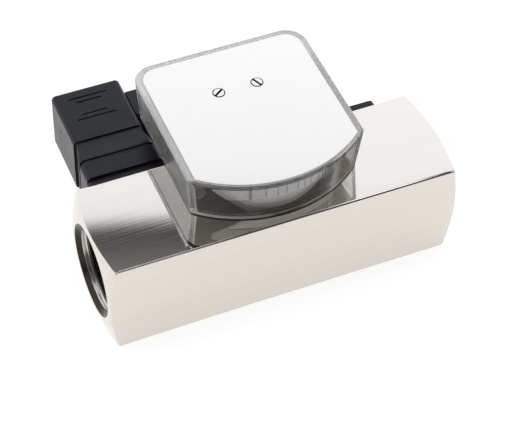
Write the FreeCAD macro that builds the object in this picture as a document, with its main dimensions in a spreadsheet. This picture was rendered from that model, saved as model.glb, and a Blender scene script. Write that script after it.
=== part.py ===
"""Variable area flow meter: square flow body, magnetic pointer head and adjustable reed switch.

Millimetres. X runs along the flow, Y towards the switch at the rear and Z up. The origin is the
centre of the body's underside. A spring-loaded float with a ring magnet moves in a tapered sleeve,
a magnet on the pointer arm follows it through the wall, and a reed contact switches beside it.
"""
import FreeCAD
import Part
import math
import os
import re
import Sketcher

SIZES = {
    # Square bar of the flow body, both ends turned with a shallow cone
    "body_length": 131.0,
    "body_width": 40.0,
    "end_face_radius": 19.0,
    "end_cone_angle": 15.0,
    # One inch pipe thread in both ports
    "port_mouth_radius": 17.0,
    "port_depth": 19.0,
    "thread_minor_radius": 15.1455,
    "thread_major_radius": 16.6245,
    "thread_pitch": 2.309,
    "thread_turns": 6,
    # Bore and the stack of parts held in it between two circlips
    "bore_radius": 14.5,
    "stack_length": 85.6,
    "stack_clearance": 0.1,
    "circlip_thickness": 1.2,
    "circlip_groove_depth": 0.7,
    "circlip_play": 0.1,
    "circlip_ring_width": 2.0,
    "circlip_gap": 7.0,
    "guide_thickness": 4.0,
    "guide_rim": 2.4,
    "guide_hub_radius": 6.2,
    "guide_spoke_width": 2.6,
    "guide_spokes": 3,
    "sleeve_length": 40.0,
    "throat_radius": 9.5,
    "throat_chamfer": 1.0,
    "seat_length": 4.0,
    "sleeve_floor": 0.3,
    "cone_margin": 7.0,
    "seal_section_radius": 0.85,
    "seal_position": 32.0,
    "seal_play": 0.05,
    # Guide rod, float, magnet and spring
    "rod_radius": 2.0,
    "rod_head_radius": 3.4,
    "rod_head_height": 1.6,
    "rod_nut_flats": 7.0,
    "rod_nut_height": 2.4,
    "rod_overhang": 0.6,
    "running_clearance": 0.05,
    "float_stroke": 23.0,
    "float_rim_gap": 0.35,
    "float_nose_radius": 3.8,
    "float_rim_width": 2.0,
    "float_back_length": 4.0,
    "float_neck_radius": 5.6,
    "float_hub_radius": 4.0,
    "float_magnet_length": 8.0,
    "float_magnet_radius": 8.0,
    "collar_thickness": 2.0,
    "collar_radius": 6.4,
    "spring_wire_radius": 0.5,
    "spring_radius": 5.2,
    "spring_turns": 9,
    # Clear head on the top face, its front wall an arc about the pointer's pivot
    "head_center_x": 0.7,
    "pivot_y": 30.3,
    "gasket_thickness": 0.5,
    "cap_half_width": 31.1,
    "cap_rear": 19.1,
    "cap_front_radius": 46.55,
    "cap_corner": 6.4,
    "cap_front_corner": 1.3,
    "cavity_front_corner": 0.8,
    "cap_height": 17.5,
    "cap_draft": 1.6,
    "cap_edge": 0.6,
    "cap_side_wall": 2.6,
    "cap_rear_wall": 2.4,
    "cap_front_wall": 1.8,
    "cavity_height": 15.0,
    "plate_thickness": 0.8,
    "plate_side_rim": 2.75,
    "plate_front_rim": 1.5,
    "plate_corner": 6.0,
    "plate_front_corner": 0.4,
    "plate_clearance": 0.1,
    # Base plate of the head with its screws into the body
    "base_thickness": 1.2,
    "base_clearance": 0.3,
    "base_screw_radius": 1.5,
    "base_screw_head_radius": 2.7,
    "base_screw_length": 5.5,
    "base_screw_depth": 4.0,
    "base_screw_offset": 25.5,
    "base_screw_front_y": 3.0,
    "base_screw_rear_y": 15.0,
    "screw_clearance": 0.2,
    "thread_clearance": 0.05,
    # Pivot frame under the two cover screws
    "post_radius": 3.0,
    "post_offset": 7.2,
    "post_set_back": 1.1,
    "cover_screw_radius": 1.25,
    "cover_screw_head_radius": 2.05,
    "cover_screw_rise": 0.12,
    "cover_screw_length": 9.0,
    "cover_slot_width": 0.8,
    "cover_slot_depth": 0.55,
    "left_slot_angle": 33.5,
    "right_slot_angle": 115.0,
    "frame_screw_length": 5.0,
    "frame_screw_head_radius": 2.2,
    "frame_screw_head_height": 1.4,
    "bar_height": 6.7,
    "bar_thickness": 2.5,
    "bar_rim": 1.2,
    "bush_radius": 1.9,
    "bush_flange_radius": 2.8,
    "bush_flange_height": 0.6,
    "bush_seat_clearance": 0.05,
    "pin_radius": 0.75,
    "pin_clearance": 0.03,
    "pin_end_gap": 0.1,
    # Pointer, magnet and counterweight
    "pointer_rest_angle": 16.5,
    "hub_radius": 2.6,
    "hub_gap": 0.3,
    "arm_width": 1.8,
    "arm_thickness": 0.8,
    "arm_rear_reach": 12.0,
    "riser_gap": 3.9,
    "tip_width": 0.8,
    "tip_gap": 0.33,
    "tip_thickness": 0.45,
    "tip_drop": 5.7,
    "scale_to_arm_gap": 0.3,
    "pointer_magnet_radius": 3.0,
    "pointer_magnet_height": 1.9,
    "pointer_magnet_gap": 0.4,
    "counterweight_radius": 3.0,
    "counterweight_height": 3.0,
    "counterweight_reach": 9.0,
    # Curved scale plate and the white strip on it
    "scale_gap": 1.35,
    "scale_thickness": 0.5,
    "scale_height": 12.3,
    "scale_left_angle": 33.0,
    "scale_right_angle": 28.0,
    "scale_cut_start": 12.6,
    "scale_cut_height": 10.0,
    "strip_thickness": 0.15,
    "strip_height": 6.2,
    "strip_gap": 0.02,
    # Reed switch housing, sliding along the rear face within its clamp slots
    "switch_length": 112.0,
    "switch_height": 22.0,
    "switch_depth": 10.0,
    "switch_corner": 2.0,
    "switch_wall": 1.6,
    "lid_thickness": 1.2,
    "lid_clearance": 0.1,
    "switch_travel": 5.0,
    "clamp_left_x": -16.8,
    "clamp_right_x": 42.0,
    "clamp_screw_radius": 2.0,
    "clamp_head_radius": 3.4,
    "clamp_head_height": 2.8,
    "clamp_hole_depth": 4.6,
    "clamp_engagement": 4.2,
    "clamp_slot_clearance": 0.4,
    "clamp_sink_depth": 4.2,
    "clamp_drive_flats": 3.0,
    "clamp_drive_depth": 1.6,
    "washer_radius": 4.0,
    "washer_thickness": 0.8,
    "boss_half_height": 6.2,
    "boss_wall": 1.5,
    "board_length": 35.0,
    "board_height": 18.0,
    "board_thickness": 1.2,
    "board_center_x": 12.2,
    "reed_radius": 1.3,
    "reed_length": 16.0,
    "reed_lead_radius": 0.3,
    "reed_lead_length": 6.0,
    "reed_gap": 0.05,
    "wire_radius": 0.6,
    "wire_gap": 0.1,
    "wire_bend": 1.5,
    # Square connector: socket with four blades, and the plug with its cable gland
    "plug_center_x": -41.75,
    "plug_rise": 0.8,
    "socket_width": 29.1,
    "socket_shift": 0.4,
    "socket_tall": 22.9,
    "socket_height": 7.4,
    "socket_corner": 2.5,
    "pedestal_width": 14.0,
    "pedestal_height": 3.0,
    "blade_offset": 9.0,
    "blade_width": 6.3,
    "blade_thickness": 0.8,
    "blade_reach": 9.0,
    "blade_tail": 4.0,
    "blade_seat_clearance": 0.05,
    "tail_window": 21.0,
    "plug_gasket_thickness": 1.0,
    "plug_gasket_width": 27.7,
    "plug_gasket_tall": 22.7,
    "plug_gasket_rim": 1.6,
    "skirt_width": 28.3,
    "skirt_tall": 23.8,
    "skirt_lip": 0.8,
    "skirt_height": 9.1,
    "skirt_corner": 2.2,
    "side_scoop_depth": 1.9,
    "top_scoop_depth": 0.35,
    "plug_width": 26.2,
    "plug_tall": 24.4,
    "plug_body_length": 25.4,
    "plug_corner": 1.8,
    "plug_edge": 1.2,
    "plug_wall": 2.0,
    "plug_end_wall": 3.6,
    "mark_depth": 0.35,
    "mark_width": 0.7,
    "mark_long": 14.7,
    "mark_short": 9.6,
    "mark_outer_gap": 5.45,
    "mark_inner_gap": 3.25,
    "mark_center": 32.85,
    "mark_side": -0.55,
    "dimple_radius": 0.6,
    "insert_length": 14.0,
    "insert_gap": 0.4,
    "insert_clearance": 0.1,
    "blade_clearance": 0.35,
    "terminal_screw_radius": 1.4,
    "terminal_screw_length": 5.0,
    "terminal_screw_head_radius": 2.2,
    "terminal_screw_head_height": 1.6,
    "terminal_screw_offset": 6.2,
    "plug_screw_radius": 1.5,
    "plug_screw_head_radius": 3.0,
    "plug_screw_head_height": 2.0,
    "plug_screw_engagement": 7.0,
    "plug_screw_slot_width": 0.8,
    "plug_screw_slot_depth": 1.0,
    "gland_position": 30.5,
    "gland_radius": 9.0,
    "gland_length": 7.2,
    "gland_bore_radius": 6.6,
    "gland_seal_radius": 3.5,
    "gland_seal_length": 6.0,
    "gland_washer_thickness": 0.8,
    "gland_nut_flats": 21.0,
    "gland_nut_gap": 0.4,
    "gland_nut_end": 5.0,
    "gland_nut_bevel": 1.6,
    "gland_hole_radius": 4.6,
}

# Levels and places worked out from the sheet
BORE_Z = "body_width / 2"
STACK_OUT = "stack_length / 2"
SLEEVE_IN = "(guide_thickness - stack_length / 2)"
RIM_X = f"({SLEEVE_IN} + seat_length)"
RIM_RADIUS = "(throat_radius - float_rim_gap)"
SEAL_FLOOR = "(bore_radius - 2 * (seal_section_radius + seal_play))"
CONE_END = f"({SEAL_FLOOR} - sleeve_floor)"
FLOAT_BORE = "(rod_radius + running_clearance)"
MAGNET_X = "(head_center_x - pivot_y * tan(pointer_rest_angle))"
MAGNET_START = f"({MAGNET_X} - float_magnet_length / 2)"
MAGNET_END = f"({MAGNET_X} + float_magnet_length / 2)"
FLOAT_END = f"({MAGNET_END} + collar_thickness)"
GUIDE_FACE = f"({STACK_OUT} - guide_thickness)"
BASE_Z = "(body_width + gasket_thickness)"
BASE_TOP = f"({BASE_Z} + base_thickness)"
CEILING = "(cavity_height - base_thickness)"
PLATE_Z = f"({BASE_Z} + cap_height - plate_thickness)"
ARM_Z = "(pointer_magnet_gap + pointer_magnet_height)"
SCALE_RADIUS = "(cap_front_radius - cap_front_wall - scale_gap)"
RISER_REACH = f"({SCALE_RADIUS} - scale_thickness - riser_gap)"
TIP_BACK = f"({SCALE_RADIUS} + strip_gap + strip_thickness + tip_gap)"
TIP_REACH = f"({TIP_BACK} + tip_thickness)"
SWITCH_Y = "body_width / 2"
PLUG_Y = "(body_width / 2 + switch_depth)"
PLUG_Z = "(body_width / 2 + plug_rise)"
SKIRT_Z = "(socket_height + plug_gasket_thickness)"
PLUG_BODY_Z = f"({SKIRT_Z} + skirt_height)"
PLUG_END_Z = f"({PLUG_BODY_Z} + plug_body_length)"
INSERT_Z = f"({SKIRT_Z} + pedestal_height + insert_gap - plug_gasket_thickness)"
GLAND_END = "(plug_width / 2 + gland_length)"
NUT_START = "(plug_width / 2 + gland_nut_gap)"
NUT_SHOULDER = f"({GLAND_END} + gland_washer_thickness)"

UPRIGHT = (FreeCAD.Vector(0, 0, 1), 0)
REARWARD = (FreeCAD.Vector(1, 0, 0), -90)

doc = FreeCAD.newDocument("flow_meter")
sheet = doc.addObject("Spreadsheet::Sheet", "Sizes")
for row, (name, size) in enumerate(SIZES.items(), 1):
    sheet.set(f"A{row}", name)
    sheet.set(f"B{row}", str(size))
    sheet.setAlias(f"B{row}", name)
doc.recompute()

pieces = []


def linked(formula):
    """The formula with every size pointing at its cell in the sheet."""
    return re.sub(r"[a-z][a-z_]*", lambda word: ("Sizes." if word[0] in SIZES else "") + word[0], formula)


def value(formula):
    """The formula's present value."""
    return float(sheet.evalExpression(linked(formula)))


def new_body(label, listed=True):
    body = doc.addObject("PartDesign::Body", label)
    body.Label = label
    if listed:
        pieces.append(body)
    return body


def place(piece, x="0", y="0", z="0", turn=UPRIGHT):
    piece.Placement = FreeCAD.Placement(FreeCAD.Vector(), FreeCAD.Rotation(*turn))
    for axis, formula in (("x", x), ("y", y), ("z", z)):
        piece.setExpression(f".Placement.Base.{axis}", linked(formula))


def origin_feature(body, role):
    return next(item for item in body.Origin.OriginFeatures if item.Role == role)


def new_sketch(body, plane, offset="0"):
    """A sketch on one of the body's origin planes, moved along that plane's normal."""
    sketch = body.newObject("Sketcher::SketchObject", "Sketch")
    sketch.AttachmentSupport = [(origin_feature(body, plane + "_Plane"), "")]
    sketch.MapMode = "FlatFace"
    sketch.setExpression("AttachmentOffset.Base.z", linked(offset))
    return sketch


def constrain(sketch, kind, geometry, formula, point=None):
    target = (geometry,) if point is None else (geometry, point)
    index = sketch.addConstraint(Sketcher.Constraint(kind, *target, value(formula)))
    sketch.setExpression(f"Constraints[{index}]", linked(formula))


def vector(across, up):
    return FreeCAD.Vector(value(across), value(up), 0)


def add_arc(sketch, start, end, center, clockwise):
    """An arc of the sketch, with the numbers of its end points in the order they are met."""
    first, last = (end, start) if clockwise else (start, end)
    first_angle = math.atan2(first.y - center.y, first.x - center.x)
    last_angle = math.atan2(last.y - center.y, last.x - center.x)
    if last_angle <= first_angle:
        last_angle += 2 * math.pi
    circle_shape = Part.Circle(center, FreeCAD.Vector(0, 0, 1), (start - center).Length)
    geometry = sketch.addGeometry(Part.ArcOfCircle(circle_shape, first_angle, last_angle))
    return (geometry, 2, 1) if clockwise else (geometry, 1, 2)


def outline(sketch, corners, closed=True):
    """An outline, or an open run, through corners given as formulas.

    A corner is (across, up), reached by a straight edge, or (across, up, center_across, center_up,
    clockwise), reached by an arc about that center.
    """
    points = [vector(corner[0], corner[1]) for corner in corners]
    edges = {}
    for index, corner in enumerate(corners):
        if index == 0 and not closed:
            continue
        if len(corner) == 2:
            edge = Part.LineSegment(points[index - 1], points[index])
            edges[index] = sketch.addGeometry(edge), 1, 2
        else:
            center = vector(corner[2], corner[3])
            edges[index] = add_arc(sketch, points[index - 1], points[index], center, corner[4])
            constrain(sketch, "DistanceX", edges[index][0], corner[2], 3)
            constrain(sketch, "DistanceY", edges[index][0], corner[3], 3)
    if not closed:
        constrain(sketch, "DistanceX", edges[1][0], corners[0][0], edges[1][1])
        constrain(sketch, "DistanceY", edges[1][0], corners[0][1], edges[1][1])
    for index, (geometry, _, end) in edges.items():
        corner = corners[index]
        following = (index + 1) % len(corners)
        if following in edges:
            sketch.addConstraint(Sketcher.Constraint("Coincident", geometry, end, *edges[following][:2]))
        straight = len(corner) == 2
        spoke = FreeCAD.Vector() if straight else points[index] - vector(corner[2], corner[3])
        if straight or abs(spoke.y) > abs(spoke.x):
            constrain(sketch, "DistanceX", geometry, corner[0], end)
        if straight or abs(spoke.y) <= abs(spoke.x):
            constrain(sketch, "DistanceY", geometry, corner[1], end)


def circle(sketch, across, up, radius):
    shape = Part.Circle(vector(across, up), FreeCAD.Vector(0, 0, 1), value(radius))
    geometry = sketch.addGeometry(shape)
    constrain(sketch, "DistanceX", geometry, across, 3)
    constrain(sketch, "DistanceY", geometry, up, 3)
    constrain(sketch, "Radius", geometry, radius)


def rectangle(sketch, left, right, low, high):
    outline(sketch, [(left, low), (right, low), (right, high), (left, high)])


def centered_rectangle(sketch, width, height, across="0", up="0"):
    rectangle(sketch, f"{across} - ({width}) / 2", f"{across} + ({width}) / 2",
              f"{up} - ({height}) / 2", f"{up} + ({height}) / 2")


def rounded_rectangle(sketch, width, height, corner, across="0"):
    left, right, tall = f"({across} - ({width}) / 2)", f"({across} + ({width}) / 2)", f"({height}) / 2"
    inner_left, inner_right = f"({left} + ({corner}))", f"({right} - ({corner}))"
    inner_y = f"({tall} - ({corner}))"
    outline(sketch, [
        (inner_right, f"-{tall}"),
        (right, f"-{inner_y}", inner_right, f"-{inner_y}", False),
        (right, inner_y),
        (inner_right, tall, inner_right, inner_y, False),
        (inner_left, tall),
        (left, inner_y, inner_left, inner_y, False),
        (left, f"-{inner_y}"),
        (inner_left, f"-{tall}", inner_left, f"-{inner_y}", False),
    ])


def slot(sketch, across, travel, radius):
    """A round-ended slot along the sketch's first axis."""
    left, right = f"({across} - {travel})", f"({across} + {travel})"
    outline(sketch, [
        (right, f"-({radius})"),
        (right, radius, right, "0", False),
        (left, radius),
        (left, f"-({radius})", left, "0", False),
    ])


def hexagon(sketch, flats, across="0", up="0"):
    """A hexagon with two of its flats level with the sketch's first axis."""
    half, corner = f"({flats}) / 2", f"({flats}) / sqrt(3)"
    outline(sketch, [
        (f"{across} + {corner}", up),
        (f"{across} + {corner} / 2", f"{up} + {half}"),
        (f"{across} - {corner} / 2", f"{up} + {half}"),
        (f"{across} - {corner}", up),
        (f"{across} - {corner} / 2", f"{up} - {half}"),
        (f"{across} + {corner} / 2", f"{up} - {half}"),
    ])


def head_outline(sketch, half_width, rear, front_radius, corner, front_corner):
    """Straight sides and rear, a front arc about the pivot, and round corners between them."""
    inner_x, inner_y = f"({half_width} - ({corner}))", f"({rear} - ({corner}))"
    turn_x = f"({half_width} - ({front_corner}))"
    turn_y = f"sqrt(({front_radius} - ({front_corner})) ^ 2 - {turn_x} ^ 2)"
    reach = f"(({front_radius}) / ({front_radius} - ({front_corner})))"
    front_x, front_y = f"({turn_x} * {reach})", f"({turn_y} * {reach})"
    outline(sketch, [
        (f"-({half_width})", f"-{turn_y}"),
        (f"-{front_x}", f"-{front_y}", f"-{turn_x}", f"-{turn_y}", False),
        (front_x, f"-{front_y}", "0", "0", False),
        (half_width, f"-{turn_y}", turn_x, f"-{turn_y}", False),
        (half_width, inner_y),
        (inner_x, rear, inner_x, inner_y, False),
        (f"-{inner_x}", rear),
        (f"-({half_width})", inner_y, f"-{inner_x}", inner_y, False),
    ])


def shape_feature(body, kind, sketch, reverse=False, **formulas):
    feature = body.newObject("PartDesign::" + kind, kind)
    feature.Profile = sketch
    feature.Reversed = reverse
    for name, formula in formulas.items():
        feature.setExpression(name, linked(formula))
    return feature


def pad(body, sketch, length, reverse=False):
    return shape_feature(body, "Pad", sketch, reverse, Length=length)


def check_cut(body, before):
    doc.recompute()
    if body.Shape.Volume >= before:
        raise RuntimeError(f"a cut in {body.Label} misses the solid")


def pocket(body, sketch, depth=None, reverse=False):
    """Cut against the sketch's normal to a depth, or right through where none is given."""
    doc.recompute()
    before = body.Shape.Volume
    if depth is None:
        feature = shape_feature(body, "Pocket", sketch, reverse)
        feature.Type = "ThroughAll"
    else:
        feature = shape_feature(body, "Pocket", sketch, reverse, Length=depth)
    check_cut(body, before)
    return feature


def revolve(body, sketch, axis="H_Axis"):
    feature = shape_feature(body, "Revolution", sketch, Angle="360")
    feature.ReferenceAxis = (sketch, [axis])
    return feature


def groove(body, sketch, axis="H_Axis"):
    doc.recompute()
    before = body.Shape.Volume
    feature = shape_feature(body, "Groove", sketch, Angle="360")
    feature.ReferenceAxis = (sketch, [axis])
    check_cut(body, before)
    return feature


def fillet(body, radius, chosen):
    """Round the edges of the body's last feature that the test picks."""
    doc.recompute()
    base = body.Tip
    names = [f"Edge{index}" for index, edge in enumerate(base.Shape.Edges, 1) if chosen(edge)]
    feature = body.newObject("PartDesign::Fillet", "Fillet")
    feature.Base = (base, names)
    feature.setExpression("Radius", linked(radius))
    return feature


def turned(label, corners, listed=True):
    """A piece turned about its own X axis, from corners given as (along, radius)."""
    body = new_body(label, listed)
    profile = new_sketch(body, "XZ")
    outline(profile, corners)
    revolve(body, profile)
    return body


def turned_upright(label, corners, listed=True):
    """A piece turned about its own Z axis, from corners given as (radius, height)."""
    body = new_body(label, listed)
    profile = new_sketch(body, "XZ")
    outline(profile, corners)
    revolve(body, profile, "V_Axis")
    return body


def group(label, members):
    compound = doc.addObject("Part::Compound", label)
    compound.Label = label
    compound.Links = members
    pieces.append(compound)


def in_bore(piece):
    place(piece, z=BORE_Z)


def on_head(piece, level):
    place(piece, "head_center_x", "pivot_y", level)


def at_plug(piece):
    place(piece, "plug_center_x", PLUG_Y, PLUG_Z, REARWARD)


def base_screw_places():
    for side in ("-", "+"):
        for row in ("base_screw_front_y", "base_screw_rear_y"):
            yield f"head_center_x {side} base_screw_offset", row


def blade_places():
    """Centers of the connector blades, with their widths across and down: sides, top and bottom."""
    yield "-blade_offset", "0", "blade_thickness", "blade_width"
    yield "blade_offset", "0", "blade_thickness", "blade_width"
    yield "0", "-blade_offset", "blade_width", "blade_thickness"
    yield "0", "blade_offset", "blade_width", "blade_thickness"


def make_flow_body():
    body = new_body("flow_body")
    section = new_sketch(body, "YZ", "-body_length / 2")
    centered_rectangle(section, "body_width", "body_width")
    pad(body, section, "body_length")
    cones = new_sketch(body, "XZ")
    for side in ("-", ""):
        outline(cones, [
            (f"{side}(body_length / 2)", "end_face_radius"),
            (f"{side}body_length", "end_face_radius"),
            (f"{side}body_length", "body_width"),
            (f"{side}(body_length / 2 - (body_width - end_face_radius) * tan(end_cone_angle))", "body_width"),
        ])
    groove(body, cones)
    cut_ports_and_bore(body)
    cut_circlip_grooves(body)
    tapped = new_sketch(body, "XY", "body_width / 2")
    for across, up in base_screw_places():
        circle(tapped, across, up, "base_screw_radius + thread_clearance")
    pocket(body, tapped, "base_screw_depth")
    clamps = new_sketch(body, "XZ", "-body_width / 2")
    for across in ("clamp_left_x", "clamp_right_x"):
        circle(clamps, across, "0", "clamp_screw_radius + thread_clearance")
    pocket(body, clamps, "clamp_hole_depth", reverse=True)
    in_bore(body)


def cut_ports_and_bore(body):
    """Both ports with their thread, and the bore between them, turned in one cut."""
    mouth = "(body_length / 2)"
    chamfer_end = f"({mouth} - port_mouth_radius + thread_minor_radius)"
    shoulder = f"({mouth} - port_depth)"
    land = "thread_pitch / 6"
    flank = f"((thread_pitch - 2 * {land}) / 2)"
    half = [(mouth, "port_mouth_radius"), (chamfer_end, "thread_minor_radius")]
    for turn in range(round(value("thread_turns"))):
        outer = f"({chamfer_end} - {land} - {turn} * thread_pitch)"
        inner = f"({chamfer_end} - {turn + 1} * thread_pitch)"
        half += [
            (outer, "thread_minor_radius"),
            (f"({outer} - {flank})", "thread_major_radius"),
            (f"({inner} + {flank})", "thread_major_radius"),
            (inner, "thread_minor_radius"),
        ]
    half += [(shoulder, "thread_minor_radius"), (shoulder, "bore_radius")]
    mirrored = [(f"-{along}", radius) for along, radius in reversed(half)]
    bore = new_sketch(body, "XZ")
    outline(bore, [(f"-{mouth}", "0"), (mouth, "0")] + half + mirrored)
    groove(body, bore)


def cut_circlip_grooves(body):
    grooves = new_sketch(body, "XZ")
    for side in ("-", ""):
        outline(grooves, [
            (f"{side}({STACK_OUT})", "thread_minor_radius / 2"),
            (f"{side}({STACK_OUT} + circlip_thickness + circlip_play)", "thread_minor_radius / 2"),
            (f"{side}({STACK_OUT} + circlip_thickness + circlip_play)", "bore_radius + circlip_groove_depth"),
            (f"{side}({STACK_OUT})", "bore_radius + circlip_groove_depth"),
        ])
    groove(body, grooves)


def make_circlip(label, start):
    """Internal snap ring, open at the bottom."""
    body = new_body(label)
    ring = new_sketch(body, "YZ", start)
    outer = "(bore_radius + circlip_groove_depth - stack_clearance)"
    circle(ring, "0", "0", outer)
    circle(ring, "0", "0", f"{outer} - circlip_ring_width")
    pad(body, ring, "circlip_thickness")
    gap = new_sketch(body, "YZ", start)
    rectangle(gap, "-circlip_gap / 2", "circlip_gap / 2", "-2 * bore_radius", "0")
    pocket(body, gap, reverse=True)
    in_bore(body)


def make_guide(label, start):
    """Spoked ring whose hub holds the guide rod in the middle of the flow."""
    body = new_body(label)
    outer = "(bore_radius - stack_clearance)"
    ring = new_sketch(body, "YZ", start)
    circle(ring, "0", "0", outer)
    circle(ring, "0", "0", f"{outer} - guide_rim")
    pad(body, ring, "guide_thickness")
    spoke = new_sketch(body, "YZ", start)
    rectangle(spoke, "-guide_spoke_width / 2", "guide_spoke_width / 2", "0", f"{outer} - guide_rim / 2")
    first_spoke = pad(body, spoke, "guide_thickness")
    doc.recompute()
    spokes = body.newObject("PartDesign::PolarPattern", "Spokes")
    spokes.Originals = [first_spoke]
    spokes.Axis = (origin_feature(body, "X_Axis"), [""])
    spokes.setExpression("Occurrences", linked("guide_spokes"))
    body.Tip = spokes
    hub = new_sketch(body, "YZ", start)
    circle(hub, "0", "0", "guide_hub_radius")
    pad(body, hub, "guide_thickness")
    hole = new_sketch(body, "YZ", start)
    circle(hole, "0", "0", "rod_radius + running_clearance")
    pocket(body, hole, reverse=True)
    in_bore(body)


def make_sleeve():
    """Tapered metering sleeve with an outside groove for its seal ring."""
    outer = "(bore_radius - stack_clearance)"
    end = f"({SLEEVE_IN} + sleeve_length)"
    seal_x = f"({SLEEVE_IN} + seal_position)"
    groove_half = "(seal_section_radius + seal_play)"
    sleeve = turned("metering_sleeve", [
        (SLEEVE_IN, "throat_radius + throat_chamfer"),
        (f"{SLEEVE_IN} + throat_chamfer", "throat_radius"),
        (RIM_X, "throat_radius"),
        (f"{RIM_X} + float_stroke + cone_margin", CONE_END),
        (end, CONE_END),
        (end, outer),
        (SLEEVE_IN, outer),
    ])
    seat = new_sketch(sleeve, "XZ")
    rectangle(seat, f"{seal_x} - {groove_half}", f"{seal_x} + {groove_half}", SEAL_FLOOR, "bore_radius")
    groove(sleeve, seat)
    in_bore(sleeve)
    seal = new_body("sleeve_seal")
    section = new_sketch(seal, "XZ")
    circle(section, seal_x, "bore_radius - seal_play - seal_section_radius", "seal_section_radius")
    revolve(seal, section)
    in_bore(seal)


def make_spacer():
    start = f"({SLEEVE_IN} + sleeve_length)"
    outer = "bore_radius - stack_clearance"
    in_bore(turned("spacer_tube", [
        (start, CONE_END),
        (GUIDE_FACE, CONE_END),
        (GUIDE_FACE, outer),
        (start, outer),
    ]))


def make_rod():
    head_face = f"(-{STACK_OUT} - rod_head_height)"
    tip = f"({STACK_OUT} + rod_nut_height + rod_overhang)"
    in_bore(turned("guide_rod", [
        (head_face, "0"),
        (tip, "0"),
        (tip, "rod_radius"),
        (f"-{STACK_OUT}", "rod_radius"),
        (f"-{STACK_OUT}", "rod_head_radius"),
        (head_face, "rod_head_radius"),
    ]))
    nut = new_body("rod_nut")
    section = new_sketch(nut, "YZ", STACK_OUT)
    hexagon(section, "rod_nut_flats")
    circle(section, "0", "0", "rod_radius + thread_clearance")
    pad(nut, section, "rod_nut_height")
    in_bore(nut)


def make_float():
    """Float with a conical nose seated on the inlet hub, its ring magnet and the collar behind it."""
    back = f"({RIM_X} + float_rim_width + float_back_length)"
    in_bore(turned("float_piston", [
        (SLEEVE_IN, FLOAT_BORE),
        (FLOAT_END, FLOAT_BORE),
        (FLOAT_END, "float_hub_radius"),
        (MAGNET_START, "float_hub_radius"),
        (MAGNET_START, "float_neck_radius"),
        (back, "float_neck_radius"),
        (f"{RIM_X} + float_rim_width", RIM_RADIUS),
        (RIM_X, RIM_RADIUS),
        (SLEEVE_IN, "float_nose_radius"),
    ]))
    inner = "float_hub_radius + running_clearance"
    in_bore(turned("float_magnet", [
        (MAGNET_START, inner),
        (MAGNET_END, inner),
        (MAGNET_END, "float_magnet_radius"),
        (MAGNET_START, "float_magnet_radius"),
    ]))
    in_bore(turned("float_collar", [
        (MAGNET_END, inner),
        (FLOAT_END, inner),
        (FLOAT_END, "collar_radius"),
        (MAGNET_END, "collar_radius"),
    ]))


def make_spring():
    spring = new_body("return_spring")
    wire = new_sketch(spring, "XZ")
    circle(wire, f"{FLOAT_END} + spring_wire_radius", "spring_radius", "spring_wire_radius")
    coil = spring.newObject("PartDesign::AdditiveHelix", "Coil")
    coil.Profile = wire
    coil.ReferenceAxis = (wire, ["H_Axis"])
    coil.Mode = "height-turns-angle"
    coil.setExpression("Height", linked(f"{GUIDE_FACE} - {FLOAT_END} - 2 * spring_wire_radius"))
    coil.setExpression("Turns", linked("spring_turns"))
    in_bore(spring)


def make_gasket():
    gasket = new_body("head_gasket")
    sheet_outline = new_sketch(gasket, "XY")
    head_outline(sheet_outline, "cap_half_width", "cap_rear", "cap_front_radius", "cap_corner",
                 "cap_front_corner")
    pad(gasket, sheet_outline, "gasket_thickness")
    holes = new_sketch(gasket, "XY")
    for across, up in base_screw_places():
        circle(holes, f"{across} - head_center_x", f"{up} - pivot_y", "base_screw_radius + screw_clearance")
    for side in ("-", ""):
        circle(holes, f"{side}post_offset", "-post_set_back", "frame_screw_head_radius + screw_clearance")
    pocket(gasket, holes, reverse=True)
    on_head(gasket, "body_width")


def make_base_plate():
    base = new_body("base_plate")
    section = new_sketch(base, "XY")
    head_outline(section, "cap_half_width - cap_side_wall - base_clearance",
                 "cap_rear - cap_rear_wall - base_clearance",
                 "cap_front_radius - cap_front_wall - base_clearance",
                 "cap_corner - cap_rear_wall", "cavity_front_corner")
    pad(base, section, "base_thickness")
    holes = new_sketch(base, "XY")
    circle(holes, "0", "0", "bush_radius + bush_seat_clearance")
    for side in ("-", ""):
        circle(holes, f"{side}post_offset", "-post_set_back", "cover_screw_radius + screw_clearance")
    pocket(base, holes, reverse=True)
    for across, up in base_screw_places():
        cut_countersink(base, f"{across} - head_center_x", f"{up} - pivot_y", "base_thickness", "base_screw")
    on_head(base, BASE_Z)


def cut_countersink(plate, across, up, thickness, screw):
    """A screw hole that opens into a cone at the plate's top face."""
    for level, radius in ((thickness, f"{screw}_head_radius"), ("0", f"{screw}_radius")):
        circle(new_sketch(plate, "XY", level), across, up, f"{radius} + screw_clearance")
    doc.recompute()
    sink = plate.newObject("PartDesign::SubtractiveLoft", "Sink")
    sink.Profile = plate.Group[-3]
    sink.Sections = [plate.Group[-2]]
    sink.Ruled = True


def make_base_screws():
    screws = []
    for number, (across, up) in enumerate(base_screw_places(), 1):
        screw = turned_upright(f"base_screw_{number}", [
            ("0", "base_thickness - base_screw_length"),
            ("base_screw_radius", "base_thickness - base_screw_length"),
            ("base_screw_radius", "0"),
            ("base_screw_head_radius", "base_thickness"),
            ("0", "base_thickness"),
        ], listed=False)
        place(screw, across, up, BASE_Z)
        screws.append(screw)
    group("base_screws", screws)


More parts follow.
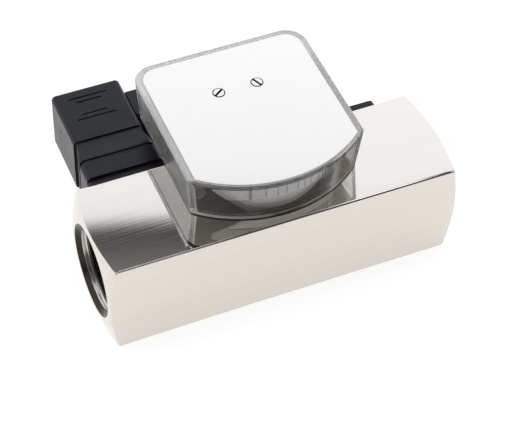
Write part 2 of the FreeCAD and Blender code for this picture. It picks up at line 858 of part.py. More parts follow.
def make_pivot_frame():
    """Two posts under the cover screws, joined by the bar that holds the upper bush."""
    frame = new_body("pivot_frame")
    posts = new_sketch(frame, "XY")
    for side in ("-", ""):
        circle(posts, f"{side}post_offset", "-post_set_back", "post_radius")
    frame.AllowCompound = True
    pad(frame, posts, CEILING)
    bar = new_sketch(frame, "XY", "bar_height")
    rectangle(bar, "-post_offset", "post_offset", "-post_set_back - post_radius + bar_rim / 2",
              "bush_radius + bar_rim")
    pad(frame, bar, "bar_thickness")
    bush_hole = new_sketch(frame, "XY", "bar_height")
    circle(bush_hole, "0", "0", "bush_radius + bush_seat_clearance")
    pocket(frame, bush_hole, "bar_thickness", reverse=True)
    top_depth = "cover_screw_length - (cap_height - cavity_height) + thread_clearance"
    foot_depth = "frame_screw_length - base_thickness + thread_clearance"
    for level, depth, upward in ((CEILING, top_depth, False), ("0", foot_depth, True)):
        tapped = new_sketch(frame, "XY", level)
        for side in ("-", ""):
            circle(tapped, f"{side}post_offset", "-post_set_back", "cover_screw_radius + thread_clearance")
        pocket(frame, tapped, depth, reverse=upward)
    on_head(frame, BASE_TOP)


def make_frame_screws():
    """Screws from below that hold the pivot frame on the base plate."""
    screws = []
    for number, side in enumerate(("-", "+"), 1):
        screw = turned_upright(f"frame_screw_{number}", [
            ("0", "-frame_screw_head_height"),
            ("frame_screw_head_radius", "-frame_screw_head_height"),
            ("frame_screw_head_radius", "0"),
            ("cover_screw_radius", "0"),
            ("cover_screw_radius", "frame_screw_length"),
            ("0", "frame_screw_length"),
        ], listed=False)
        place(screw, f"head_center_x {side} post_offset", "pivot_y - post_set_back", BASE_Z)
        screws.append(screw)
    group("frame_screws", screws)


def make_pivot():
    """Lower and upper bush and the pin that turns in them."""
    bore = "pin_radius + pin_clearance"
    bushes = []
    for label, seat, flange, spigot in (
        ("lower_bush", "0", "bush_flange_height", "-base_thickness"),
        ("upper_bush", "bar_height", "bar_height - bush_flange_height", "bar_height + bar_thickness"),
    ):
        bush = turned_upright(label, [
            (bore, spigot),
            ("bush_radius", spigot),
            ("bush_radius", seat),
            ("bush_flange_radius", seat),
            ("bush_flange_radius", flange),
            (bore, flange),
        ], listed=False)
        on_head(bush, BASE_TOP)
        bushes.append(bush)
    group("pivot_bushes", bushes)
    pin = turned_upright("pivot_pin", [
        ("0", "pin_end_gap - base_thickness"),
        ("pin_radius", "pin_end_gap - base_thickness"),
        ("pin_radius", "bar_height + bar_thickness - pin_end_gap"),
        ("0", "bar_height + bar_thickness - pin_end_gap"),
    ])
    point_with_rest_angle(pin)


def point_with_rest_angle(piece):
    """Place a piece of the pointer, turned from straight ahead to its place at no flow."""
    on_head(piece, BASE_TOP)
    piece.setExpression(".Placement.Rotation.Angle", linked("360 - pointer_rest_angle"))


def make_pointer():
    """Hub and arm; the arm rises behind the scale, crosses its top edge and drops in front of it."""
    pointer = new_body("pointer")
    over = "(scale_height + scale_to_arm_gap)"
    arm = new_sketch(pointer, "YZ", "-arm_width / 2")
    outline(arm, [
        (f"-{RISER_REACH}", ARM_Z),
        ("arm_rear_reach", ARM_Z),
        ("arm_rear_reach", f"{ARM_Z} + arm_thickness"),
        (f"arm_thickness - {RISER_REACH}", f"{ARM_Z} + arm_thickness"),
        (f"arm_thickness - {RISER_REACH}", f"{over} + arm_thickness"),
        (f"-{RISER_REACH}", f"{over} + arm_thickness"),
    ])
    pad(pointer, arm, "arm_width")
    tip = new_sketch(pointer, "YZ", "-tip_width / 2")
    outline(tip, [
        (f"-{TIP_REACH}", f"{over} - tip_drop"),
        (f"-{TIP_BACK}", f"{over} - tip_drop"),
        (f"-{TIP_BACK}", over),
        (f"arm_thickness - {RISER_REACH}", over),
        (f"arm_thickness - {RISER_REACH}", f"{over} + arm_thickness"),
        (f"-{TIP_REACH}", f"{over} + arm_thickness"),
    ])
    pad(pointer, tip, "tip_width")
    hub = new_sketch(pointer, "XY", "bush_flange_height + hub_gap")
    circle(hub, "0", "0", "hub_radius")
    pad(pointer, hub, "bar_height - 2 * bush_flange_height - 2 * hub_gap")
    hole = new_sketch(pointer, "XY")
    circle(hole, "0", "0", "pin_radius + pin_clearance")
    pocket(pointer, hole, reverse=True)
    point_with_rest_angle(pointer)
    magnet = new_body("pointer_magnet")
    section = new_sketch(magnet, "XY", "pointer_magnet_gap")
    circle(section, "0", "-pivot_y", "pointer_magnet_radius")
    pad(magnet, section, "pointer_magnet_height")
    point_with_rest_angle(magnet)
    weight = new_body("pointer_counterweight")
    section = new_sketch(weight, "XY", f"{ARM_Z} + arm_thickness")
    circle(section, "0", "counterweight_reach", "counterweight_radius")
    pad(weight, section, "counterweight_height")
    point_with_rest_angle(weight)


def curved_plate(label, inner, thickness, low, high):
    """Part of a cylinder about the pivot, its lower left corner cut off at a slant."""
    plate = new_body(label)
    outer = f"({inner} + {thickness})"
    left, right = "scale_left_angle", "scale_right_angle"
    section = new_sketch(plate, "XY", low)
    outline(section, [
        (f"-{outer} * sin({left})", f"-{outer} * cos({left})"),
        (f"{outer} * sin({right})", f"-{outer} * cos({right})", "0", "0", False),
        (f"{inner} * sin({right})", f"-{inner} * cos({right})"),
        (f"-{inner} * sin({left})", f"-{inner} * cos({left})", "0", "0", True),
    ])
    pad(plate, section, f"{high} - ({low})")
    slant = new_sketch(plate, "XZ")
    far = f"-2 * {SCALE_RADIUS}"
    outline(slant, [
        ("-scale_cut_start", "0"),
        (f"-{outer} * sin({left})", "scale_cut_height"),
        (far, "scale_cut_height"),
        (far, "0"),
    ])
    pocket(plate, slant, reverse=True)
    on_head(plate, BASE_TOP)


def make_scale():
    curved_plate("scale_plate", f"({SCALE_RADIUS} - scale_thickness)", "scale_thickness", "0", "scale_height")
    curved_plate("scale_strip", f"({SCALE_RADIUS} + strip_gap)", "strip_thickness",
                 "scale_height - strip_height", "scale_height")


def make_cap():
    """Clear moulded cap: drafted walls, bevelled top edge, recess for the cover plate, screw holes."""
    cap = new_body("clear_cap")

    def loft(kind, side_wall, rear_wall, front_wall, front_corner, levels):
        sections = []
        for level, grown in levels:
            section = new_sketch(cap, "XY", level)
            head_outline(section, f"cap_half_width - {side_wall} + {grown}", f"cap_rear - {rear_wall} + {grown}",
                         f"cap_front_radius - {front_wall} + {grown}", f"cap_corner - {rear_wall} + {grown}",
                         front_corner)
            sections.append(section)
        doc.recompute()
        feature = cap.newObject("PartDesign::" + kind, "Walls")
        feature.Profile = sections[0]
        feature.Sections = sections[1:]
        feature.Ruled = True

    loft("AdditiveLoft", "0", "0", "0", "cap_front_corner", [
        ("0", "0"),
        ("cap_height - cap_edge", "cap_draft * (cap_height - cap_edge) / cap_height"),
        ("cap_height", "cap_draft - cap_edge"),
    ])
    loft("SubtractiveLoft", "cap_side_wall", "cap_rear_wall", "cap_front_wall", "cavity_front_corner", [
        ("0", "0"),
        ("cavity_height", "cap_draft * cavity_height / cap_height"),
    ])
    recess = new_sketch(cap, "XY", "cap_height")
    plate_outline(recess, "plate_clearance")
    pocket(cap, recess, "plate_thickness")
    holes = new_sketch(cap, "XY", "cap_height")
    for side in ("-", ""):
        circle(holes, f"{side}post_offset", "-post_set_back", "cover_screw_radius + screw_clearance")
    pocket(cap, holes)
    on_head(cap, BASE_Z)


def plate_outline(sketch, growth):
    head_outline(sketch, f"cap_half_width + cap_draft - plate_side_rim + {growth}",
                 f"cap_rear + cap_draft - plate_side_rim + {growth}",
                 f"cap_front_radius + cap_draft - plate_front_rim + {growth}",
                 f"plate_corner + {growth}", "plate_front_corner")


def make_cover_plate():
    plate = new_body("cover_plate")
    section = new_sketch(plate, "XY")
    plate_outline(section, "0")
    pad(plate, section, "plate_thickness")
    for side in ("-", ""):
        cut_countersink(plate, f"{side}post_offset", "-post_set_back", "plate_thickness", "cover_screw")
    on_head(plate, PLATE_Z)


def make_cover_screws():
    """Countersunk slotted screws, a little proud of the plate."""
    top = "(plate_thickness + cover_screw_rise)"
    screws = []
    for number, (side, slot_angle) in enumerate((("-", "left_slot_angle"), ("+", "right_slot_angle")), 1):
        screw = turned_upright(f"cover_screw_{number}", [
            ("0", "plate_thickness - cover_screw_length"),
            ("cover_screw_radius", "plate_thickness - cover_screw_length"),
            ("cover_screw_radius", "0"),
            ("cover_screw_head_radius", "plate_thickness"),
            ("cover_screw_head_radius", top),
            ("0", top),
        ], listed=False)
        cut = new_sketch(screw, "XY", top)
        centered_rectangle(cut, "3 * cover_screw_head_radius", "cover_slot_width")
        pocket(screw, cut, "cover_slot_depth")
        place(screw, f"head_center_x {side} post_offset", "pivot_y - post_set_back", PLATE_Z)
        screw.setExpression(".Placement.Rotation.Angle", linked(slot_angle))
        screws.append(screw)
    group("cover_screws", screws)


def at_switch(piece):
    place(piece, "0", SWITCH_Y, BORE_Z, REARWARD)


def clamp_slots(sketch, radius):
    for across in ("clamp_left_x", "clamp_right_x"):
        slot(sketch, across, "switch_travel", radius)


def make_switch_housing():
    """Long shell, open towards the body, with a slotted boss for each clamp screw."""
    housing = new_body("switch_housing")
    section = new_sketch(housing, "XY")
    rounded_rectangle(section, "switch_length", "switch_height", "switch_corner")
    pad(housing, section, "switch_depth")
    hollow = new_sketch(housing, "XY")
    centered_rectangle(hollow, "switch_length - 2 * switch_wall", "switch_height - 2 * switch_wall")
    pocket(housing, hollow, "switch_depth - switch_wall", reverse=True)
    sink_radius = "washer_radius + clamp_slot_clearance"
    bosses = new_sketch(housing, "XY", "lid_thickness")
    for across in ("clamp_left_x", "clamp_right_x"):
        centered_rectangle(bosses, f"2 * (switch_travel + {sink_radius} + boss_wall)",
                           "2 * boss_half_height", across)
    pad(housing, bosses, "switch_depth - lid_thickness")
    slots = new_sketch(housing, "XY", "switch_depth")
    clamp_slots(slots, "clamp_screw_radius + clamp_slot_clearance")
    pocket(housing, slots)
    sinks = new_sketch(housing, "XY", "switch_depth")
    clamp_slots(sinks, sink_radius)
    pocket(housing, sinks, "clamp_sink_depth")
    window = new_sketch(housing, "XY", "switch_depth")
    centered_rectangle(window, "tail_window", "switch_height - 2 * switch_wall", "plug_center_x")
    pocket(housing, window, "switch_wall")
    at_switch(housing)


def make_switch_lid():
    lid = new_body("switch_lid")
    section = new_sketch(lid, "XY")
    centered_rectangle(section, "switch_length - 2 * switch_wall - 2 * lid_clearance",
                       "switch_height - 2 * switch_wall - 2 * lid_clearance")
    pad(lid, section, "lid_thickness")
    slots = new_sketch(lid, "XY")
    clamp_slots(slots, "clamp_screw_radius + clamp_slot_clearance")
    pocket(lid, slots, reverse=True)
    at_switch(lid)


def make_clamps():
    """Socket-head screws and washers that hold the housing on the body."""
    seat = "(switch_depth - clamp_sink_depth)"
    head = f"({seat} + washer_thickness)"
    top = f"({head} + clamp_head_height)"
    screws, washers = [], []
    for number, across in enumerate(("clamp_left_x", "clamp_right_x"), 1):
        screw = turned_upright(f"clamp_screw_{number}", [
            ("0", "-clamp_engagement"),
            ("clamp_screw_radius", "-clamp_engagement"),
            ("clamp_screw_radius", head),
            ("clamp_head_radius", head),
            ("clamp_head_radius", top),
            ("0", top),
        ], listed=False)
        drive = new_sketch(screw, "XY", top)
        hexagon(drive, "clamp_drive_flats")
        pocket(screw, drive, "clamp_drive_depth")
        screws.append(screw)
        washers.append(turned_upright(f"clamp_washer_{number}", [
            ("clamp_screw_radius + screw_clearance", seat),
            ("washer_radius", seat),
            ("washer_radius", head),
            ("clamp_screw_radius + screw_clearance", head),
        ], listed=False))
        for piece in (screws[-1], washers[-1]):
            place(piece, across, SWITCH_Y, BORE_Z, REARWARD)
    group("clamp_screws", screws)
    group("clamp_washers", washers)


def make_reed():
    """Circuit board on the housing's rear wall with the glass reed contact on its front."""
    board_z = "(switch_depth - switch_wall - board_thickness)"
    board = new_body("reed_board")
    section = new_sketch(board, "XY", board_z)
    centered_rectangle(section, "board_length", "board_height", "board_center_x")
    pad(board, section, "board_thickness")
    at_switch(board)
    glass, lead = "reed_length / 2", "(reed_length / 2 + reed_lead_length)"
    shoulder = "(reed_length / 2 - reed_radius)"
    reed = turned("reed_contact", [
        (f"-{lead}", "0"),
        (lead, "0"),
        (lead, "reed_lead_radius"),
        (glass, "reed_lead_radius"),
        (shoulder, "reed_radius"),
        (f"-{shoulder}", "reed_radius"),
        (f"-{glass}", "reed_lead_radius"),
        (f"-{lead}", "reed_lead_radius"),
    ])
    place(reed, "board_center_x", f"{SWITCH_Y} + {board_z} - reed_radius - reed_gap", BORE_Z)


def make_wires():
    """Leads from the board, under the boss, to the bottom blade and to the right-hand blade."""
    depth = f"{SWITCH_Y} + switch_depth - switch_wall - board_thickness / 2"
    board_end = "board_center_x - board_length / 2"
    low = f"{PLUG_Z} - blade_offset"
    high = f"{low} + 2 * wire_radius + wire_gap"
    straight = new_body("reed_wire_1", listed=False)
    section = new_sketch(straight, "YZ", "plug_center_x + blade_width / 2")
    circle(section, "0", "0", "wire_radius")
    pad(straight, section, f"{board_end} - plug_center_x - blade_width / 2")
    place(straight, "0", depth, low)
    bent = new_body("reed_wire_2", listed=False)
    blade_x = "(plug_center_x + blade_offset)"
    section = new_sketch(bent, "YZ", board_end)
    circle(section, "0", "0", "wire_radius")
    route = new_sketch(bent, "XZ")
    outline(route, [
        (board_end, "0"),
        (f"{blade_x} + wire_bend", "0"),
        (blade_x, "wire_bend", f"{blade_x} + wire_bend", "wire_bend", True),
        (blade_x, f"{PLUG_Z} - blade_width / 2 - ({high})"),
    ], closed=False)
    run = bent.newObject("PartDesign::AdditivePipe", "Run")
    run.Profile = section
    run.Spine = route
    place(bent, "0", depth, high)
    group("reed_wires", [straight, bent])


def make_socket():
    socket = new_body("connector_socket")
    flange = new_sketch(socket, "XY")
    rounded_rectangle(flange, "socket_width", "socket_tall", "socket_corner", "socket_shift")
    pad(socket, flange, "socket_height")
    pedestal = new_sketch(socket, "XY", "socket_height")
    centered_rectangle(pedestal, "pedestal_width", "pedestal_width")
    pad(socket, pedestal, "pedestal_height")
    tapped = new_sketch(socket, "XY", "socket_height + pedestal_height")
    circle(tapped, "0", "0", "plug_screw_radius + thread_clearance")
    pocket(socket, tapped, "plug_screw_engagement + 2 * thread_clearance")
    seats = new_sketch(socket, "XY", "socket_height")
    for across, up, width, height in blade_places():
        centered_rectangle(seats, f"{width} + 2 * blade_seat_clearance",
                           f"{height} + 2 * blade_seat_clearance", across, up)
    pocket(socket, seats)
    at_plug(socket)


def make_blades():
    """Contact blades; all but the top one have a tail that reaches into the switch housing."""
    blades = []
    tails = ("blade_tail", "blade_tail", "0", "blade_tail")
    for number, (tail, place_and_widths) in enumerate(zip(tails, blade_places()), 1):
        across, up, width, height = place_and_widths
        blade = new_body(f"socket_blade_{number}", listed=False)
        section = new_sketch(blade, "XY", f"-{tail}")
        centered_rectangle(section, width, height, across, up)
        pad(blade, section, f"{tail} + socket_height + blade_reach")
        at_plug(blade)
        blades.append(blade)
    group("socket_blades", blades)


def make_plug_gasket():
    gasket = new_body("plug_gasket")
    section = new_sketch(gasket, "XY", "socket_height")
    rounded_rectangle(section, "plug_gasket_width", "plug_gasket_tall", "socket_corner")
    centered_rectangle(section, "plug_gasket_width - 2 * plug_gasket_rim",
                       "plug_gasket_tall - 2 * plug_gasket_rim")
    pad(gasket, section, "plug_gasket_thickness")
    at_plug(gasket)


def cut_scoops(plug, plane, span, depth):
    """Hollow the skirt on two opposite sides with an arc that deepens towards the plug's body."""
    run = "(skirt_height - skirt_lip)"
    radius = f"(({run} ^ 2 + {depth} ^ 2) / (2 * {depth}))"
    lip = f"({SKIRT_Z} + skirt_lip)"
    edge = f"({span} / 2)"
    floor = f"({span} / 2 - {depth})"
    scoops = new_sketch(plug, plane, "-skirt_width")
    for sign, clockwise in (("-", False), ("", True)):
        corners = [
            (f"{sign}{edge}", lip),
            (f"{sign}{floor}", PLUG_BODY_Z, f"{sign}({floor} + {radius})", PLUG_BODY_Z, clockwise),
            (f"{sign}skirt_width", PLUG_BODY_Z),
            (f"{sign}skirt_width", lip),
        ]
        outline(scoops, corners)
    pocket(plug, scoops, reverse=True)


def make_plug_housing():
    """Plug shell: flared skirt, rounded body, gland stub and plain marking lines on top."""
    plug = new_body("plug_housing")
    skirt = new_sketch(plug, "XY", SKIRT_Z)
    rounded_rectangle(skirt, "skirt_width", "skirt_tall", "skirt_corner")
    pad(plug, skirt, "skirt_height")
    cut_scoops(plug, "YZ", "skirt_tall", "top_scoop_depth")
    cut_scoops(plug, "XZ", "skirt_width", "side_scoop_depth")
    body = new_sketch(plug, "XY", PLUG_BODY_Z)
    rounded_rectangle(body, "plug_width", "plug_tall", "plug_corner")
    pad(plug, body, "plug_body_length")
    end = value(PLUG_END_Z)
    fillet(plug, "plug_edge", lambda edge: all(abs(point.Point.z - end) < 1e-6 for point in edge.Vertexes))
    stub = new_sketch(plug, "YZ", "plug_width / 2 - plug_wall / 2")
    circle(stub, "0", "gland_position", "gland_radius")
    pad(plug, stub, "gland_length + plug_wall / 2")
    hollow = new_sketch(plug, "XY", SKIRT_Z)
    centered_rectangle(hollow, "plug_width - 2 * plug_wall", "plug_tall - 2 * plug_wall")
    pocket(plug, hollow, "skirt_height + plug_body_length - plug_end_wall", reverse=True)
    gland_bore = new_sketch(plug, "YZ", GLAND_END)
    circle(gland_bore, "0", "gland_position", "gland_bore_radius")
    pocket(plug, gland_bore, "gland_length + plug_wall + screw_clearance")
    screw_hole = new_sketch(plug, "XY", PLUG_END_Z)
    circle(screw_hole, "0", "0", "plug_screw_radius + screw_clearance")
    pocket(plug, screw_hole)
    sink = new_sketch(plug, "XY", PLUG_END_Z)
    circle(sink, "0", "0", "plug_screw_head_radius + screw_clearance")
    pocket(plug, sink, "plug_screw_head_height")
    cut_plug_marks(plug)
    at_plug(plug)


def cut_plug_marks(plug):
    marks = new_sketch(plug, "XZ", "plug_tall / 2")
    for side in ("-", "+"):
        for gap, length in (("mark_outer_gap", "mark_long"), ("mark_inner_gap", "mark_short")):
            centered_rectangle(marks, length, "mark_width", "mark_side", f"(mark_center {side} {gap})")
    pocket(plug, marks, "mark_depth")
    dimple = new_sketch(plug, "YZ", "-plug_width / 2")
    circle(dimple, "-mark_inner_gap", "mark_center", "dimple_radius")
    pocket(plug, dimple, "mark_depth", reverse=True)


def make_insert():
    """Terminal block in the plug, with slots for the blades and its terminal screws."""
    insert = new_body("terminal_insert")
    section = new_sketch(insert, "XY", INSERT_Z)
    centered_rectangle(section, "plug_width - 2 * plug_wall - 2 * insert_clearance",
                       "plug_tall - 2 * plug_wall - 2 * insert_clearance")
    circle(section, "0", "0", "plug_screw_radius + screw_clearance")
    pad(insert, section, "insert_length")
    slots = new_sketch(insert, "XY", INSERT_Z)
    for across, up, width, height in blade_places():
        centered_rectangle(slots, f"{width} + 2 * blade_clearance", f"{height} + 2 * blade_clearance", across, up)
    pocket(insert, slots, "blade_reach", reverse=True)
    top = f"({INSERT_Z} + insert_length)"
    tapped = new_sketch(insert, "XY", top)
    for across, up in terminal_places():
        circle(tapped, across, up, "terminal_screw_radius + thread_clearance")
    pocket(insert, tapped, "terminal_screw_length + thread_clearance")
    at_plug(insert)
    screws = []
    for number, (across, up) in enumerate(terminal_places(), 1):
        screw = new_body(f"terminal_screw_{number}", listed=False)
        shank = new_sketch(screw, "XY", f"{top} - terminal_screw_length")
        circle(shank, across, up, "terminal_screw_radius")
        pad(screw, shank, "terminal_screw_length")
        head = new_sketch(screw, "XY", top)
        circle(head, across, up, "terminal_screw_head_radius")
        pad(screw, head, "terminal_screw_head_height")
        at_plug(screw)
        screws.append(screw)
    group("terminal_screws", screws)


def terminal_places():
    for across in ("-terminal_screw_offset", "terminal_screw_offset"):
        for up in ("-terminal_screw_offset", "terminal_screw_offset"):
            yield across, up


def make_plug_screw():
    """Long screw through the plug into the socket."""
    shoulder = f"({PLUG_END_Z} - plug_screw_head_height)"
    tip = "(socket_height + pedestal_height - plug_screw_engagement)"
    screw = turned_upright("plug_screw", [
        ("0", tip),
        ("plug_screw_radius", tip),
        ("plug_screw_radius", shoulder),
        ("plug_screw_head_radius", shoulder),
        ("plug_screw_head_radius", PLUG_END_Z),
        ("0", PLUG_END_Z),
    ])
    cut = new_sketch(screw, "XY", PLUG_END_Z)
    centered_rectangle(cut, "3 * plug_screw_head_radius", "plug_screw_slot_width")
    pocket(screw, cut, "plug_screw_slot_depth")
    at_plug(screw)


def at_gland(piece):
    place(piece, "plug_center_x", f"{PLUG_Y} + gland_position", PLUG_Z)


def make_gland():
    """Rubber seal in the stub, washer on its end and the hexagon nut over both."""
    seal_start = f"({GLAND_END} - gland_seal_length)"
    at_gland(turned("gland_seal", [
        (seal_start, "gland_seal_radius"),
        (GLAND_END, "gland_seal_radius"),
        (GLAND_END, "gland_bore_radius - stack_clearance"),
        (seal_start, "gland_bore_radius - stack_clearance"),
    ]))
    at_gland(turned("gland_washer", [
        (GLAND_END, "gland_hole_radius"),
        (NUT_SHOULDER, "gland_hole_radius"),
        (NUT_SHOULDER, "gland_radius"),
        (GLAND_END, "gland_radius"),
    ]))
    nut = new_body("gland_nut")
    end = f"({NUT_SHOULDER} + gland_nut_end)"
    section = new_sketch(nut, "YZ", NUT_START)
    hexagon(section, "gland_nut_flats")
    pad(nut, section, f"{end} - {NUT_START}")
    bevel = new_sketch(nut, "XZ")
    flat = "gland_nut_flats / 2"
    outline(bevel, [
        (f"{end} - 2 * gland_nut_bevel", f"{flat} + gland_nut_bevel"),
        (end, f"{flat} - gland_nut_bevel"),
        (f"{end} + gland_nut_bevel", f"{flat} - gland_nut_bevel"),
        (f"{end} + gland_nut_bevel", f"{flat} + 2 * gland_nut_bevel"),
        (f"{end} - 2 * gland_nut_bevel", f"{flat} + 2 * gland_nut_bevel"),
    ])
    groove(nut, bevel)
    thread = new_sketch(nut, "YZ", NUT_START)
    circle(thread, "0", "0", "gland_radius + thread_clearance")
    pocket(nut, thread, f"{NUT_SHOULDER} - {NUT_START}", reverse=True)
    hole = new_sketch(nut, "YZ", end)
    circle(hole, "0", "0", "gland_hole_radius")
    pocket(nut, hole)
    at_gland(nut)


make_flow_body()
make_circlip("inlet_circlip", f"-{STACK_OUT} - circlip_thickness")
make_circlip("outlet_circlip", STACK_OUT)
make_guide("inlet_guide", f"-{STACK_OUT}")
make_guide("outlet_guide", GUIDE_FACE)
make_sleeve()
make_spacer()
make_rod()
make_float()
make_spring()
make_gasket()
make_base_plate()
make_base_screws()
make_pivot_frame()
make_frame_screws()
make_pivot()
make_pointer()
make_scale()
make_cap()
make_cover_plate()
make_cover_screws()
make_switch_housing()
make_switch_lid()
make_clamps()
make_reed()
make_wires()
make_socket()
make_blades()
make_plug_gasket()
make_plug_housing()
make_insert()
make_plug_screw()
make_gland()
doc.recompute()

for item in doc.Objects:
    if "Invalid" in item.State or "Error" in item.State:
        raise RuntimeError(f"{item.Label} did not build: {item.State}")
for piece in pieces:
    if piece.Shape.isNull() or not piece.Shape.isValid() or not piece.Shape.Solids:
        raise RuntimeError(f"{piece.Label} has no sound shape")

os.makedirs("parts", exist_ok=True)
for piece in pieces:
    piece.Shape.exportStep(f"parts/{piece.Label}.step")
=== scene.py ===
"""Looks of a variable area flow meter: nickel body, clear pointer head, reed switch and square plug."""
import math
import bpy
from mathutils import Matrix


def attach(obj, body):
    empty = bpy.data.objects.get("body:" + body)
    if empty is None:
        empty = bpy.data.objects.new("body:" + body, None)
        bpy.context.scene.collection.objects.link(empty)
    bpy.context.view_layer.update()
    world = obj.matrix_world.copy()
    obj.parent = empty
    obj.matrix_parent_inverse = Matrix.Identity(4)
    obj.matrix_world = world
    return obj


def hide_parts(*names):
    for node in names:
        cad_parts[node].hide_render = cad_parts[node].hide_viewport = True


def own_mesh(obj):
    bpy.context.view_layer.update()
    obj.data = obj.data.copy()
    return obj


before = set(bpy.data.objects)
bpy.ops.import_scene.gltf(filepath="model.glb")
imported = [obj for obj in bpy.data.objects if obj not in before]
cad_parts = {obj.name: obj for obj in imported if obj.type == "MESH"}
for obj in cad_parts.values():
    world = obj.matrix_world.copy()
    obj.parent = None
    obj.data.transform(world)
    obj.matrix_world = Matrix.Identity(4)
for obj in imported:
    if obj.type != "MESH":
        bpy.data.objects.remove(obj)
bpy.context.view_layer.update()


# Studio: the meter lies on a wide white card under one broad soft lamp, seen from above the inlet end
# through a long lens. The camera sees a white room; polished metal mirrors one that is bright low down
# and behind, banded overhead and dim in front. Light turns many times in clear walls.
CAMERA_PLACE = (-0.170666, -0.356474, 0.477995)
CAMERA_TURN = (40.7451, -1.8321, -23.0614)
LENS_MM = 118.913
SENSOR_MM = 36
SKY_UP = (0.0, -0.12, 1.0)
SKY_FRONT = (0.0, -1.0, 0.0)
SKY_BANDS = ((0.24, 0.95), (0.2645, 0.90), (0.275, 0.045), (0.32, 0.20), (0.47, 0.18), (0.53, 1.0),
             (0.56, 1.7), (0.72, 1.7), (0.79, 0.50))
BEHIND, IN_FRONT, BESIDE_OPENING = 1.3, 0.04, 0.20
OPENING_RIGHT = 0.29
CARD_SIZE = 40
CARD_GLOW = 0.86
scene = bpy.context.scene
scene.view_settings.view_transform = "Standard"
scene.cycles.max_bounces = 24
scene.cycles.glossy_bounces = 16
scene.cycles.transmission_bounces = 16


def new_node(tree, kind, **settings):
    node = tree.nodes.new("ShaderNode" + kind)
    for name, setting in settings.items():
        setattr(node, name, setting)
    return node


def plug_in(tree, source, output, target, entry):
    tree.links.new(source.outputs[output], target.inputs[entry])


def set_inputs(node, **values):
    """Set a node's inputs, named with underscores for the spaces in their names."""
    for name, value in values.items():
        node.inputs[name.replace("_", " ")].default_value = value


def deselect():
    bpy.ops.object.select_all(action="DESELECT")


deselect()
bpy.ops.object.camera_add(location=CAMERA_PLACE, rotation=[math.radians(turn) for turn in CAMERA_TURN])
camera = bpy.context.object
camera.data.lens = LENS_MM
camera.data.sensor_width = SENSOR_MM
scene.camera = camera

world = bpy.data.worlds.new("card_and_room")
scene.world = world
world.use_nodes = True
sky = world.node_tree
sky.nodes.clear()
sky_place = new_node(sky, "TexCoord")
sky_level = new_node(sky, "VectorMath", operation="DOT_PRODUCT")
sky_level.inputs[1].default_value = SKY_UP
sky_reach = new_node(sky, "MapRange")
set_inputs(sky_reach, From_Min=0.55, From_Max=1.05)
sky_bands = new_node(sky, "ValToRGB")
bands = sky_bands.color_ramp.elements
bands[0].position = 0.10
bands[0].color = (1.01, 1.04, 1.09, 1)
bands[1].position = 1.0
bands[1].color = (0.36, 0.37, 0.39, 1)
for position, shade in SKY_BANDS:
    bands.new(position).color = (0.97 * shade, shade, 1.05 * shade, 1)
sky_side = new_node(sky, "VectorMath", operation="DOT_PRODUCT")
sky_side.inputs[1].default_value = SKY_FRONT
sky_shade = new_node(sky, "MapRange")
set_inputs(sky_shade, From_Min=0.04, From_Max=0.11, To_Min=BEHIND, To_Max=IN_FRONT)
sky_right = new_node(sky, "SeparateXYZ")
sky_off = new_node(sky, "Math", operation="SUBTRACT")
sky_off.inputs[1].default_value = OPENING_RIGHT
sky_wide = new_node(sky, "Math", operation="ABSOLUTE")
sky_lift = new_node(sky, "MapRange")
set_inputs(sky_lift, From_Min=0.22, From_Max=0.28, To_Max=BESIDE_OPENING)
sky_strength = new_node(sky, "Math", operation="MAXIMUM")
sky_light = new_node(sky, "Background")
sky_white = new_node(sky, "Background")
set_inputs(sky_white, Color=(1, 1, 1, 1))
sky_path = new_node(sky, "LightPath")
sky_seen = new_node(sky, "Math", operation="ADD", use_clamp=True)
sky_mix = new_node(sky, "MixShader")
sky_out = new_node(sky, "OutputWorld")
plug_in(sky, sky_place, "Generated", sky_level, 0)
plug_in(sky, sky_level, "Value", sky_reach, "Value")
plug_in(sky, sky_reach, "Result", sky_bands, "Fac")
plug_in(sky, sky_bands, "Color", sky_light, "Color")
plug_in(sky, sky_place, "Generated", sky_side, 0)
plug_in(sky, sky_side, "Value", sky_shade, "Value")
plug_in(sky, sky_shade, "Result", sky_strength, 0)
plug_in(sky, sky_place, "Generated", sky_right, "Vector")
plug_in(sky, sky_right, "X", sky_off, 0)
plug_in(sky, sky_off, "Value", sky_wide, 0)
plug_in(sky, sky_wide, "Value", sky_lift, "Value")
plug_in(sky, sky_lift, "Result", sky_strength, 1)
plug_in(sky, sky_strength, "Value", sky_light, "Strength")
plug_in(sky, sky_path, "Is Camera Ray", sky_seen, 0)
plug_in(sky, sky_path, "Is Transmission Ray", sky_seen, 1)
plug_in(sky, sky_seen, "Value", sky_mix, "Fac")
plug_in(sky, sky_light, "Background", sky_mix, 1)
plug_in(sky, sky_white, "Background", sky_mix, 2)
plug_in(sky, sky_mix, "Shader", sky_out, "Surface")

bpy.ops.object.light_add(type="AREA", location=(-0.12, 0.02, 0.9))
key_lamp = bpy.context.object
key_lamp.name = "key_lamp"
key_lamp.data.size = 0.5
key_lamp.data.energy = 2.0
key_lamp.visible_glossy = False

